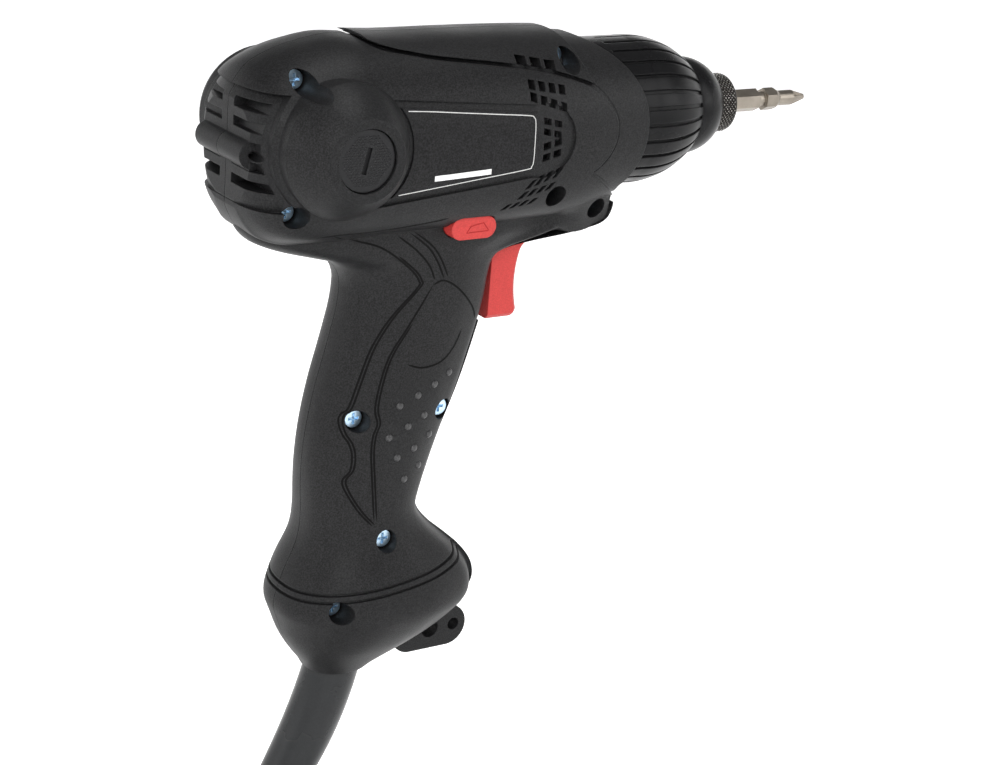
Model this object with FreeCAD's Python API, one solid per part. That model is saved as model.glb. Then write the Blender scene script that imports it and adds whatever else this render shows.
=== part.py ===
import FreeCAD, Part
import math
import os

Vector = FreeCAD.Vector

# A corded pistol-grip impact screwdriver, in millimetres.
# The origin is the middle of the palm grip: +X runs along the spindle to the bit, +Y is left, +Z is up.

# Fits shared by all pieces
FIT = 0.05
RUN = 0.1
SLIDE = 0.3
OVERRUN = 6.0
SEAM_GAP = 0.2

# Barrel of the housing, along the spindle
SPINDLE_HEIGHT = 75.0
BODY_REAR = -56.5
BODY_LENGTH = 128.5
BODY_HALF_WIDTH = 28.6
BODY_TOP = 28.4
BODY_BOTTOM = 29.7
UPPER_POWER = 2.2
LOWER_POWER = 3.0
WALL = 2.5
# Shares of the length from the rear, and of the half width, top and bottom heights there.
BODY_SHARES = (
    (0.000, 0.560, 0.470, 0.640),
    (0.018, 0.705, 0.602, 0.805),
    (0.047, 0.815, 0.733, 0.930),
    (0.085, 0.888, 0.818, 0.992),
    (0.128, 0.944, 0.885, 1.020),
    (0.183, 0.986, 0.940, 1.025),
    (0.230, 1.000, 0.970, 1.020),
    (0.284, 1.000, 0.960, 1.010),
    (0.346, 1.000, 0.945, 1.000),
    (0.470, 1.000, 0.940, 1.000),
    (0.595, 1.000, 0.940, 0.993),
    (0.790, 0.979, 0.925, 0.963),
    (0.891, 0.930, 0.900, 0.890),
    (1.000, 0.860, 0.859, 0.800),
)
CAVITY_FIRST = 2
SECTION_STEPS = 10
LOFT_DEGREE = 2

# Grip, chin and base of the housing, down from inside the barrel
GRIP_TOP_DROP = 24.0
GRIP_HEIGHT = 145.5
PALM_DEPTH = 48.0
PALM_HALF_WIDTH = 17.2
GRIP_POWER = 2.3
# Shares of the height down from the top, of the palm depth to the back and front, and of the half width.
GRIP_SHARES = (
    (0.0000, -1.090, 1.380, 1.050),
    (0.0275, -1.075, 1.360, 1.050),
    (0.0480, -1.005, 1.285, 1.050),
    (0.0687, -0.840, 1.040, 1.030),
    (0.0880, -0.600, 0.790, 1.020),
    (0.1100, -0.440, 0.672, 1.017),
    (0.1443, -0.380, 0.636, 1.012),
    (0.2000, -0.385, 0.612, 1.006),
    (0.2900, -0.446, 0.540, 1.000),
    (0.3900, -0.521, 0.446, 0.997),
    (0.4900, -0.567, 0.335, 0.978),
    (0.5800, -0.573, 0.243, 0.980),
    (0.6460, -0.562, 0.212, 1.010),
    (0.6804, -0.567, 0.284, 1.070),
    (0.7148, -0.592, 0.405, 1.180),
    (0.7491, -0.638, 0.525, 1.310),
    (0.7904, -0.687, 0.620, 1.420),
    (0.8316, -0.721, 0.640, 1.450),
    (0.8660, -0.703, 0.570, 1.360),
    (0.9072, -0.655, 0.420, 1.160),
    (0.9485, -0.587, 0.220, 0.900),
    (0.9794, -0.515, 0.040, 0.690),
    (1.0000, -0.475, -0.055, 0.570),
)
CAVITY_LAST = 21

# Raised wing on top, panel groove, lowered front band and the slanted front rim
WING_RISE = 0.8
GROOVE_WIDTH = 1.1
GROOVE_DEPTH = 0.9
BAND_DEPTH = 0.8
RIM_BOW = 27.0
RIM_LOW_SHARE = 0.62
# Shares of the body length from the rear, and of the half width above the spindle.
PANEL_EDGE_SHARES = (
    (0.280, 0.990),
    (0.295, 0.927),
    (0.353, 0.857),
    (0.420, 0.808),
    (0.516, 0.762),
    (0.616, 0.713),
    (0.703, 0.654),
    (0.789, 0.552),
    (0.838, 0.458),
    (0.867, 0.339),
    (0.890, 0.196),
    (0.900, 0.063),
    (0.896, -0.105),
    (0.877, -0.255),
    (0.850, -0.364),
    (0.832, -0.409),
)
WING_NOSE_SHARES = ((0.803, 0.960), (0.804, 0.850), (0.811, 0.680), (0.833, 0.490))
CHIN_LINE_SHARES = ((0.832, -0.409), (1.020, -0.955))

# Rating label and its recess, on the right flank
LABEL_DEPTH = 0.8
LABEL_THICK = 0.35
LABEL_BED = 0.15
LABEL_MARGIN = 2.2
LABEL_REAR_SHARE = 0.270
LABEL_FRONT_SHARE = 0.661
LABEL_TIP_SHARE = 0.768
LABEL_TOP_SHARES = (0.415, 0.275)
LABEL_LOW_SHARES = (-0.500, -0.310)

# Cooling slots: groups of rows and columns, placed along the body and above the spindle
VENT_BAR = 1.2
# Shares of the length and half width at the first slot, of the half width for a slot's run, height, lean and
# its rise above the slot behind it, then columns and rows.
VENT_GROUP_SHARES = (
    (0.629, 0.712, 0.120, 0.090, 0.022, -0.025, 3, 1),
    (0.645, 0.497, 0.077, 0.090, 0.008, -0.020, 4, 1),
    (0.644, 0.389, 0.077, 0.085, 0.008, -0.036, 4, 1),
    (0.681, 0.044, 0.090, 0.065, 0.000, -0.030, 2, 2),
    (0.683, -0.239, 0.090, 0.075, 0.000, 0.030, 2, 2),
    (0.643, -0.518, 0.061, 0.095, 0.072, 0.032, 4, 1),
    (0.629, -0.628, 0.063, 0.080, 0.064, 0.026, 4, 1),
    (0.594, -0.741, 0.059, 0.066, 0.068, 0.015, 4, 1),
)
LOUVER_COUNT = 5
LOUVER_PITCH = 5.4
LOUVER_HEIGHT = 2.8
LOUVER_RECESS = 2.0
LOUVER_TOP = 15.0
LOUVER_LOW = 17.5
LOUVER_SPINE = 3.4
LOUVER_SURROUND = 21.0
REAR_BAR_RADIUS = 4.0
REAR_BAR_HALF = 13.5
REAR_BAR_INSET = 1.0
REAR_BAR_DROP = 2.4
REAR_BAR_HOLE = 1.2
REAR_BAR_HOLE_DEPTH = 6.0

# Brush gear, on an axis across the barrel
BRUSH_X = -32.7
BOSS_FACE = 37.0
BOSS_BASE_RADIUS = 19.4
BOSS_FACE_RADIUS = 11.8
BOSS_ROUND = 11.0
BOSS_BULGE_SHARE = 0.56
CAP_RADIUS = 8.8
CAP_RECESS = 2.6
CAP_THICK = 1.8
CAP_STEM_RADIUS = 4.6
CAP_STEM_LENGTH = 4.0
CAP_SLOT_WIDTH = 1.6
CAP_SLOT_LENGTH = 7.6
CAP_SLOT_TILT = 13.0
CAP_SLOT_DEPTH = 0.9
HOLDER_RADIUS = 6.5
HOLDER_INNER = 11.0
BRUSH_WIDTH = 6.0
BRUSH_HEIGHT = 7.0
BRUSH_LENGTH = 13.0
BRUSH_WIRE = 0.35
BRUSH_SPRING_RADIUS = 2.2
BRUSH_TURNS = 4

# Motor
COMMUTATOR_RADIUS = 9.0
COMMUTATOR_LENGTH = 13.6
COMMUTATOR_BARS = 16
COMMUTATOR_SLOT = 0.5
BEARING_RADIUS = 9.5
BEARING_BORE = 3.0
BEARING_WIDTH = 6.0
BEARING_SHIELD = 0.5
BEARING_RACE = 2.0
BEARING_SEAT_WALL = 3.0
BEARING_SEAT_REAR = 6.5
STATOR_REAR = -16.0
STATOR_LENGTH = 36.0
STATOR_RADIUS = 24.0
STATOR_YOKE = 3.6
STATOR_BORE = 14.2
POLE_HALF_ANGLE = 56.0
COIL_HALF_ANGLE = 86.0
COIL_INSET = 0.4
COIL_OVERHANG = 5.5
ARMATURE_GAP = 0.6
ARMATURE_SLOTS = 10
ARMATURE_SLOT = 2.4
ARMATURE_SLOT_DEPTH = 5.0
WINDING_OVERHANG = 5.0
SHAFT_RADIUS = 4.0
FAN_REAR = 26.0
FAN_LENGTH = 7.2
FAN_RADIUS = 22.0
FAN_HUB = 7.0
FAN_DISC = 1.6
FAN_BLADE = 1.2
FAN_BLADES = 13
FAN_SWEEP = 24.0
RIB_WIDTH = 3.0
RIB_INSET = 4.0

# Planetary gear stage
GEAR_MODULE = 0.6
SUN_TEETH = 12
PLANET_TEETH = 24
PRESSURE_ANGLE = 20.0
ADDENDUM_SHARE = 0.8
DEDENDUM_SHARE = 1.1
BACKLASH = 0.16
FLANK_POINTS = 3
JOIN_SHARE = 0.002
GEAR_WIDTH = 5.0
RING_WALL = 2.4
PLATE_REAR = 46.4
PLATE_THICK = 3.0
PINION_BORE = 1.8
PLANET_PIN = 1.6
CARRIER_RADIUS = 14.2
CARRIER_THICK = 3.0

# Impact mechanism
CAM_RADIUS = 6.0
CAM_PILOT = 3.8
CAM_PILOT_LENGTH = 5.0
CAM_BALL = 2.0
HAMMER_RADIUS = 17.3
HAMMER_LENGTH = 11.2
HAMMER_TRAVEL = 6.0
HAMMER_POCKET_INNER = 7.6
HAMMER_POCKET_OUTER = 12.4
HAMMER_POCKET_DEPTH = 6.8
LUG_LENGTH = 4.0
LUG_INNER = 8.6
LUG_OUTER = 16.0
LUG_HALF_ANGLE = 20.0
SPRING_WIRE = 0.8
SPRING_TURNS = 3
EAR_LENGTH = 4.4
EAR_RADIUS = 14.8
EAR_HALF_WIDTH = 4.4
ANVIL_RADIUS = 6.4
BUSH_WALL = 2.0

# Metal hammer case, rubbered nose sleeve and nose ring
CASE_WALL = 1.8
CASE_FLANGE_WALL = 1.5
CASE_NECK_RADIUS = 10.2
CASE_CONE_LENGTH = 10.0
SLEEVE_RADIUS = 22.7
SLEEVE_FRONT_RADIUS = 15.6
SLEEVE_TUCK = 12.0
SLEEVE_STRAIGHT_SHARE = 0.42
SLEEVE_BULGE_SHARE = 0.62
SLEEVE_DROP_SHARE = 0.3
SLEEVE_RIBS = 28
SLEEVE_FLUTE_WIDTH = 1.2
SLEEVE_FLUTE_DEPTH = 0.9
RING_LENGTH = 11.6
RING_BACK_RADIUS = 15.1
RING_FRONT_RADIUS = 10.9
RING_BULGE_SHARE = 0.62
RING_DROP_SHARE = 0.25
RING_LIP = 1.0

# Quick-change collar and the double-ended bit
COLLAR_FACE = 118.0
COLLAR_LENGTH = 7.3
COLLAR_RADIUS = 9.0
COLLAR_CHAMFER = 0.6
COLLAR_LAND = 2.2
COLLAR_WIRE = 0.25
COLLAR_TURNS = 3
COLLAR_POCKET = 8.0
RETAINER_THICK = 0.9
DETENT_BALL = 1.1
NOSE_STEP = 0.6
HEX_FLATS = 6.35
BIT_LENGTH = 65.0
BIT_REACH = 33.9
BIT_NECK_RADIUS = 2.4
BIT_NECK_LENGTH = 3.0
BIT_NECK_FROM_END = 17.0
BIT_SHANK_RADIUS = 2.45
BIT_SHANK_LENGTH = 11.1
BIT_TAPER = 2.2
BIT_TIP_LENGTH = 5.3
BIT_TIP_RADIUS = 0.9
BIT_FLUTE = 1.5
BIT_FLUTE_DEPTH = 0.75

# Trigger, switch and reversing button
TRIGGER_BACK = 29.5
TRIGGER_LOW = 14.6
TRIGGER_HEIGHT = 25.8
TRIGGER_REACH = 10.7
TRIGGER_HOLLOW = 1.2
TRIGGER_LIP = 2.4
TRIGGER_HOOK = 6.0
TRIGGER_HOOK_DROP = 5.4
TRIGGER_HOOK_TIP = 1.8
TRIGGER_HALF_WIDTH = 8.3
TRIGGER_CHAMFER = 1.2
TRIGGER_TRAVEL = 7.0
STEM_RADIUS = 2.5
STEM_LENGTH = 18.0
STEM_RISE = 13.4
TRIGGER_WIRE = 0.7
TRIGGER_TURNS = 5
TRIGGER_SPRING_RADIUS = 4.3
TRIGGER_POCKET = 6.0
SWITCH_REAR = -8.0
SWITCH_HALF_WIDTH = 9.0
SWITCH_LOW = 15.2
SWITCH_HEIGHT = 25.0
SWITCH_SLOT_DEPTH = 3.0
SHELF_THICK = 2.6
REVERSE_X = 13.0
REVERSE_DROP = 26.5
REVERSE_LENGTH = 15.2
REVERSE_HEIGHT = 6.6
REVERSE_PROUD = 5.0
REVERSE_CAP_DEPTH = 7.0
REVERSE_BAR_WIDTH = 6.0
REVERSE_BAR_HEIGHT = 3.2
CAPACITOR_LENGTH = 16.0
CAPACITOR_HEIGHT = 10.5
CAPACITOR_HALF_WIDTH = 7.0

# Housing screws, all driven from the right
SCREW_HEAD = 2.8
SCREW_HEAD_THICK = 2.2
SCREW_SHANK = 1.45
SCREW_REACH = 9.0
SCREW_HOLE = 3.4
SCREW_BOSS = 4.6
SCREW_CROSS = 0.8
SCREW_CROSS_DEPTH = 1.2
SCREW_CROSS_SPAN_SHARE = 0.62
# Shares of the body length from the rear, and of the half width above the spindle and out to the head's seat.
SCREW_BODY_SHARES = (
    (0.104, 0.621, 0.350),
    (0.083, -0.649, 0.470),
    (0.776, 0.722, 0.335),
    (0.739, -0.632, 0.315),
)
SCREW_CHIN_X = 58.5
SCREW_CHIN_DROP = 25.0
SCREW_CHIN_SEAT = 6.8
SCREW_PALM_Z = -10.0
SCREW_PALM_REAR_X = -17.2
SCREW_PALM_FRONT_X = 12.2
SCREW_PALM_SEAT = 9.0
SCREW_WAIST_X = -7.3
SCREW_WAIST_Z = -48.1
SCREW_WAIST_SEAT = 13.5
SCREW_BASE_X = -22.5
SCREW_BASE_Z = -68.5
SCREW_BASE_SEAT = 12.0

# Base rings, hanging tab and cord clamp
BASE_RING_REAR_Z = -64.5
BASE_RING_RISE = 8.5
BASE_RING_SPAN = 64.0
BASE_RING_STEP = 2.2
BASE_RING_WIDTH = 0.9
TAB_HALF_THICK = 5.0
TAB_RADIUS = 6.8
TAB_REAR_X = 12.0
TAB_FRONT_X = 25.5
TAB_Z = -87.8
TAB_HOLE = 3.0
TAB_HOLE_X = 19.1
TAB_EYE = 2.0
TAB_EYE_X = 27.8
TAB_ROOT_FRONT = 14.0
TAB_ROOT_RISE = 9.0
CLAMP_HEIGHT = 8.0
CLAMP_Z = -75.0
CLAMP_HALF_SPAN = 11.0
CLAMP_BAR = 6.0
CLAMP_THICK = 2.6
CLAMP_SCREW_SPREAD = 8.0
CLAMP_SCREW = 1.3
CLAMP_SCREW_HEAD = 2.5

# Cord guard, mains cord, its put-away coil and the plug
CORD_RADIUS = 3.5
GUARD_X = -13.0
GUARD_LENGTH = 58.0
GUARD_LEAN = 14.0
GUARD_END_LEAN = 40.0
GUARD_RADIUS = 8.6
GUARD_END_RADIUS = 5.3
GUARD_ROOT = 8.6
GUARD_FLANGE = 10.0
GUARD_FLANGE_THICK = 2.2
GUARD_RINGS = 8
GUARD_TAPER_POWER = 3
TAIL_LENGTH = 34.0
LEAD_RADIUS = 1.1
LEAD_SPREAD = 2.4
LEAD_ROUTE = ((-4.6, -60.0), (0.4, -46.0), (1.4, -28.0), (3.6, -8.0), (10.6, 4.0), (12.0, 15.0))
CORD_ROUTE = (
    (-54.5, 0.0, -164.1),
    (-57.7, 0.0, -187.9),
    (-47.5, 0.0, -209.7),
    (-27.3, 0.0, -222.6),
    (-3.3, 0.0, -222.6),
)
ROUTE_TURN_SHARE = 0.45
COIL_TURNS = 6.5
COIL_MIDDLE = 41.0
COIL_GAP = 0.6
COIL_SAMPLES = 24
TIE_THICK = 1.2
TIE_WIDTH = 9.0
TIE_ANGLE = 200.0
PLUG_NECK = 20.0
PLUG_NECK_RADIUS = 5.6
PLUG_LENGTH = 38.0
PLUG_HALF_WIDTH = 18.0
PLUG_HALF_THICK = 12.4
PLUG_POWER = 2.6
# Shares of the length from the neck, and of the half width and half thickness there.
PLUG_SHARES = (
    (0.00, 0.36, 0.50),
    (0.20, 0.56, 0.66),
    (0.50, 0.90, 0.92),
    (0.75, 1.00, 1.00),
    (1.00, 0.97, 0.96),
)
PIN_RADIUS = 2.4
PIN_LENGTH = 19.0
PIN_SPREAD = 9.5
PIN_ROOT = 6.0


# Shapes that many pieces share
def rod(x0, x1, radius):
    """A round bar on the spindle axis."""
    return Part.makeCylinder(radius, x1 - x0, Vector(x0, 0, SPINDLE_HEIGHT), Vector(1, 0, 0))


def tube(x0, x1, outer, inner):
    """A round tube on the spindle axis."""
    return rod(x0, x1, outer).cut(rod(x0 - OVERRUN, x1 + OVERRUN, inner))


def cross_rod(x, z, y0, y1, radius):
    """A round bar across the tool."""
    return Part.makeCylinder(radius, abs(y1 - y0), Vector(x, min(y0, y1), z), Vector(0, 1, 0))


def block(x0, x1, y0, y1, z0, z1):
    return Part.makeBox(x1 - x0, y1 - y0, z1 - z0, Vector(x0, y0, z0))


def outline(steps, place):
    """A closed wire: a step is a corner, or a pair of points that an arc runs through and ends at."""
    first = last = place(*steps[0])
    edges = []
    for step in steps[1:]:
        if isinstance(step[0], tuple):
            middle, end = (place(*point) for point in step)
            edges.append(Part.Arc(last, middle, end).toShape())
        else:
            end = place(*step)
            edges.append(Part.LineSegment(last, end).toShape())
        last = end
    if last.distanceToPoint(first) > FIT:
        edges.append(Part.LineSegment(last, first).toShape())
    return Part.Wire(edges)


def spun(steps):
    """A solid turned about the spindle axis from an outline of (x, radius)."""
    face = Part.Face(outline(steps, lambda x, r: Vector(x, 0, SPINDLE_HEIGHT + r)))
    return face.revolve(Vector(0, 0, SPINDLE_HEIGHT), Vector(1, 0, 0), 360)


def cross_spun(x, steps):
    """A solid turned about an axis across the tool at x, from an outline of (radius, y)."""
    face = Part.Face(outline(steps, lambda r, y: Vector(x + r, y, SPINDLE_HEIGHT)))
    return face.revolve(Vector(x, 0, SPINDLE_HEIGHT), Vector(0, 1, 0), 360)


def side_plate(steps, y0, y1):
    """A plate across the tool from an outline of (x, z)."""
    face = Part.Face(outline(steps, lambda x, z: Vector(x, y0, z)))
    return face.extrude(Vector(0, y1 - y0, 0))


def smooth_plate(curves, y0, y1):
    """A plate across the tool whose edge is smooth curves of (x, z) joined by straight lines."""
    edges = []
    paths = [[Vector(x, y0, z) for x, z in points] for points in curves]
    for places, after in zip(paths, paths[1:] + paths[:1]):
        curve = Part.BSplineCurve()
        curve.interpolate(places)
        edges.append(curve.toShape())
        if places[-1].distanceToPoint(after[0]) > FIT:
            edges.append(Part.LineSegment(places[-1], after[0]).toShape())
    return Part.Face(Part.Wire(edges)).extrude(Vector(0, y1 - y0, 0))


def beside(points, offset):
    """The points of a curve moved sideways by an offset."""
    moved = []
    for k, (x, z) in enumerate(points):
        x0, z0 = points[max(k - 1, 0)]
        x1, z1 = points[min(k + 1, len(points) - 1)]
        run = math.hypot(x1 - x0, z1 - z0)
        moved.append((x - offset * (z1 - z0) / run, z + offset * (x1 - x0) / run))
    return moved


def stripe(points, width, y0, y1):
    """A plate of even width along a smooth curve."""
    return smooth_plate([beside(points, width / 2), beside(points, -width / 2)[::-1]], y0, y1)


def bent(value, power):
    """A cosine or sine bent towards a squarer section."""
    return math.copysign(abs(value) ** (2 / power), value)


def half_section(points, inner):
    """A closed section of the right half, smooth across the seam; an inner one runs past the seam."""
    curve = Part.BSplineCurve()
    curve.interpolate(Points=points, InitialTangent=Vector(0, -1, 0), FinalTangent=Vector(0, 1, 0))
    edges = [curve.toShape()]
    past = Vector(0, OVERRUN, 0)
    corners = [points[-1], points[0]]
    if inner:
        corners[1:1] = [points[-1] + past, points[0] + past]
    for start, end in zip(corners, corners[1:]):
        edges.append(Part.LineSegment(start, end).toShape())
    return Part.Wire(edges)


def half_turn(count):
    """Angles from one end of the seam over the right side to the other end."""
    return [math.pi * k / count for k in range(count + 1)]


def turns_of(count):
    return [2 * math.pi * k / count for k in range(count)]


def tangent_arc(start, way, end):
    """The arc that leaves start along way and ends at end."""
    chord = end - start
    along = Vector(chord).normalize()
    side = way - along * way.dot(along)
    half = chord.Length / 2
    sag = half * math.tan(way.getAngle(along) / 2)
    return Part.Arc(start, (start + end) / 2 + Vector(side).normalize() * sag, end).toShape()


def biarc(start, start_way, end, end_way):
    """Two arcs that join two points and keep the way at both."""
    chord = end - start
    both = start_way + end_way
    bend = 2 * (1 - start_way.dot(end_way))
    reach = (-chord.dot(both) + math.sqrt(chord.dot(both) ** 2 + bend * chord.dot(chord))) / bend
    middle = (start + end + (start_way - end_way) * reach) / 2
    return [tangent_arc(start, start_way, middle), tangent_arc(end, end_way * -1, middle)]


def arcs_through(stops):
    """Arcs that run smoothly through points, each given with the way that the line runs there."""
    edges = []
    for (start, start_way), (end, end_way) in zip(stops, stops[1:]):
        edges += biarc(start, start_way, end, end_way)
    return edges


def tube_along(path, radius):
    """A round tube along a wire, its volume compared with its section times its length."""
    edge = path.OrderedEdges[0]
    start = edge.FirstParameter
    ring = Part.Wire(Part.makeCircle(radius, edge.valueAt(start), edge.tangentAt(start)))
    solid = path.makePipeShell([ring], True, False)
    print("tube volume share", round(solid.Volume / (math.pi * radius**2 * path.Length), 4))
    return solid


def helix(start, axis, radius, wire, turns, length):
    """A coil spring of round wire that fills the length between two seats."""
    rise = length - 2 * wire
    up = Vector(0, 0, 1)
    side = axis.cross(up)
    stops = []
    for k in range(turns * 4 + 1):
        a = math.pi * k / 2
        out = side * math.cos(a) + up * math.sin(a)
        place = start + axis * (wire + rise * k / (turns * 4)) + out * radius
        way = (up * math.cos(a) - side * math.sin(a)) * radius + axis * (rise / (2 * math.pi * turns))
        stops.append((place, way.normalize()))
    return tube_along(Part.Wire(arcs_through(stops)), wire)


def mirrored(shape):
    """The same piece on the left side."""
    return shape.mirror(Vector(0, 0, 0), Vector(0, 1, 0))


def hex_bar(x0, x1, flats, point_up):
    """A hexagonal bar on the spindle axis."""
    corner = flats / 2 / math.cos(math.pi / 6)
    turn = 0 if point_up else math.pi / 6
    ring = [
        Vector(x0, corner * math.sin(a + turn), SPINDLE_HEIGHT + corner * math.cos(a + turn))
        for a in turns_of(6)
    ]
    return Part.Face(Part.makePolygon(ring + ring[:1])).extrude(Vector(x1 - x0, 0, 0))


# Places along the spindle, worked out from the sizes
body_front = BODY_REAR + BODY_LENGTH
rear_bar_z = SPINDLE_HEIGHT - REAR_BAR_DROP
collar_back = COLLAR_FACE - COLLAR_LENGTH
ring_front = collar_back - SLIDE
ring_back = ring_front - RING_LENGTH
sleeve_back = body_front - SLEEVE_TUCK
pitch_sun = GEAR_MODULE * SUN_TEETH / 2
pitch_planet = GEAR_MODULE * PLANET_TEETH / 2
planet_orbit = pitch_sun + pitch_planet
ring_teeth = SUN_TEETH + 2 * PLANET_TEETH
pitch_ring = GEAR_MODULE * ring_teeth / 2
ring_outer = pitch_ring + GEAR_MODULE * DEDENDUM_SHARE + RING_WALL
plate_front = PLATE_REAR + PLATE_THICK
gear_rear = plate_front + SLIDE
gear_front = gear_rear + GEAR_WIDTH
carrier_rear = gear_front + SLIDE
carrier_front = carrier_rear + CARRIER_THICK
hammer_rear = carrier_front + HAMMER_TRAVEL + SLIDE
hammer_front = hammer_rear + HAMMER_LENGTH
ear_rear = hammer_front + SLIDE
ear_front = ear_rear + EAR_LENGTH
bit_rear = COLLAR_FACE + BIT_REACH - BIT_LENGTH
bit_tip = COLLAR_FACE + BIT_REACH
drum_outer = HAMMER_RADIUS + SLIDE * 2 + CASE_WALL
flange_outer = ring_outer + FIT + CASE_FLANGE_WALL
flange_front = gear_front + SLIDE + CASE_FLANGE_WALL
drum_front = ear_front + SLIDE
neck_rear = drum_front + CASE_CONE_LENGTH
neck_front = ring_front - RING_LIP
stator_front = STATOR_REAR + STATOR_LENGTH
armature_radius = STATOR_BORE - ARMATURE_GAP
front_bearing_rear = PLATE_REAR - BEARING_WIDTH + FIT
rear_bearing_rear = BODY_REAR + BEARING_SEAT_REAR
grip_top = SPINDLE_HEIGHT - GRIP_TOP_DROP
grip_bottom = grip_top - GRIP_HEIGHT
reach_y = BOSS_FACE + OVERRUN
core_rear = STATOR_REAR + COIL_INSET
core_front = stator_front - COIL_INSET
nose_rear = ring_front
nose_radius = ANVIL_RADIUS - NOSE_STEP
retainer_rear = COLLAR_FACE - SLIDE - RETAINER_THICK
switch_front = TRIGGER_BACK - TRIGGER_TRAVEL - SLIDE
switch_top = SWITCH_LOW + SWITCH_HEIGHT
capacitor_low = SWITCH_LOW - FIT * 2 - CAPACITOR_HEIGHT
reverse_z = SPINDLE_HEIGHT - REVERSE_DROP
coil_pitch = CORD_RADIUS * 2 + COIL_GAP
coil_outer = COIL_MIDDLE + coil_pitch * COIL_TURNS / 4
coil_middle = Vector(*CORD_ROUTE[-1]) + Vector(CORD_RADIUS * 2, -coil_outer, 0)


# Outer forms of the housing
def body_form(grow, inner=False, first=0, ahead=0):
    """The barrel's right half, its skin moved outwards by grow, from a chosen section to ahead of the rim."""
    wires = []
    seam = SEAM_GAP / 2
    for along, width, top, bottom in BODY_SHARES[first:]:
        x = BODY_REAR + along * BODY_LENGTH
        if along == BODY_SHARES[-1][0]:
            x += ahead
        ring = []
        for a in half_turn(SECTION_STEPS):
            side, rise = math.sin(a), math.cos(a)
            power = UPPER_POWER if rise >= 0 else LOWER_POWER
            height = top * BODY_TOP if rise >= 0 else bottom * BODY_BOTTOM
            y = -seam - (width * BODY_HALF_WIDTH + grow - seam) * bent(side, power)
            ring.append(Vector(x, y, SPINDLE_HEIGHT + (height + grow) * bent(rise, power)))
        wires.append(half_section(ring, inner))
    return Part.makeLoft(wires, True, False, False, LOFT_DEGREE)


def grip_form(grow, inner=False, last=None):
    """The right half of the grip with its chin and base, its skin moved outwards by grow."""
    wires = []
    seam = SEAM_GAP / 2
    for down, back, front, width in GRIP_SHARES[:last]:
        middle = PALM_DEPTH * (front + back) / 2
        half = PALM_DEPTH * (front - back) / 2 + grow
        z = grip_top - down * GRIP_HEIGHT
        ring = []
        for a in half_turn(SECTION_STEPS):
            y = -seam - (width * PALM_HALF_WIDTH + grow - seam) * bent(math.sin(a), GRIP_POWER)
            ring.append(Vector(middle - half * bent(math.cos(a), GRIP_POWER), y, z))
        wires.append(half_section(ring, inner))
    return Part.makeLoft(wires, True, False, False, LOFT_DEGREE)


def on_body(shares):
    """Points (x, z) on the barrel from shares of its length and half width."""
    return [(BODY_REAR + u * BODY_LENGTH, SPINDLE_HEIGHT + v * BODY_HALF_WIDTH) for u, v in shares]


def brush_boss():
    """The dome on the right flank that carries the brush holder."""
    bulge = (
        BOSS_FACE_RADIUS + (BOSS_BASE_RADIUS - BOSS_FACE_RADIUS) * BOSS_BULGE_SHARE,
        -BOSS_FACE + BOSS_ROUND * (1 - BOSS_BULGE_SHARE),
    )
    steps = (
        (0, -HOLDER_INNER),
        (BOSS_BASE_RADIUS, -HOLDER_INNER),
        (BOSS_BASE_RADIUS, BOSS_ROUND - BOSS_FACE),
        (bulge, (BOSS_FACE_RADIUS, -BOSS_FACE)),
        (0, -BOSS_FACE),
    )
    return cross_spun(BRUSH_X, steps)


def rear_bar(grow=0):
    """The round bar across the rear louvers."""
    x = BODY_REAR + REAR_BAR_INSET
    return cross_rod(x, rear_bar_z, -REAR_BAR_HALF - grow, -SEAM_GAP / 2, REAR_BAR_RADIUS + grow)


def wing():
    """The raised wing along the top, above the panel groove."""
    edge = beside(on_body(PANEL_EDGE_SHARES[1:8]), GROOVE_WIDTH / 2)
    nose = on_body(WING_NOSE_SHARES)
    sky = SPINDLE_HEIGHT + BODY_TOP + OVERRUN
    sides = [edge, nose[::-1], [(nose[0][0], sky), (edge[0][0], sky)]]
    return body_form(WING_RISE).common(smooth_plate(sides, -reach_y, 0))


def label_field(margin):
    """The label's rear, front, upper and lower edges, moved outwards by a margin."""
    rear = BODY_REAR + LABEL_REAR_SHARE * BODY_LENGTH - margin
    front = BODY_REAR + LABEL_FRONT_SHARE * BODY_LENGTH
    high = [SPINDLE_HEIGHT + share * BODY_HALF_WIDTH + margin for share in LABEL_TOP_SHARES]
    low = [SPINDLE_HEIGHT + share * BODY_HALF_WIDTH - margin for share in LABEL_LOW_SHARES]
    return rear, front, high, low


def label_recess():
    """The sunk field with its rounded front end that holds the label."""
    rear, front, high, low = label_field(LABEL_MARGIN)
    tip = BODY_REAR + LABEL_TIP_SHARE * BODY_LENGTH
    bow = ((tip, (low[1] + high[1]) / 2), (front, high[1]))
    return side_plate(((rear, low[0]), (front, low[1]), bow, (rear, high[0])), -reach_y, 0)


def rating_label():
    """A thin plate that lies on the floor of the label field."""
    rear, front, high, low = label_field(0)
    plate = side_plate(((rear, low[0]), (front, low[1]), (front, high[1]), (rear, high[0])), -reach_y, 0)
    bed = LABEL_BED - LABEL_DEPTH
    around_boss = cross_rod(BRUSH_X, SPINDLE_HEIGHT, -reach_y, 0, BOSS_BASE_RADIUS + SLIDE)
    return plate.common(body_form(bed + LABEL_THICK)).cut([body_form(bed, True), around_boss])


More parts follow.
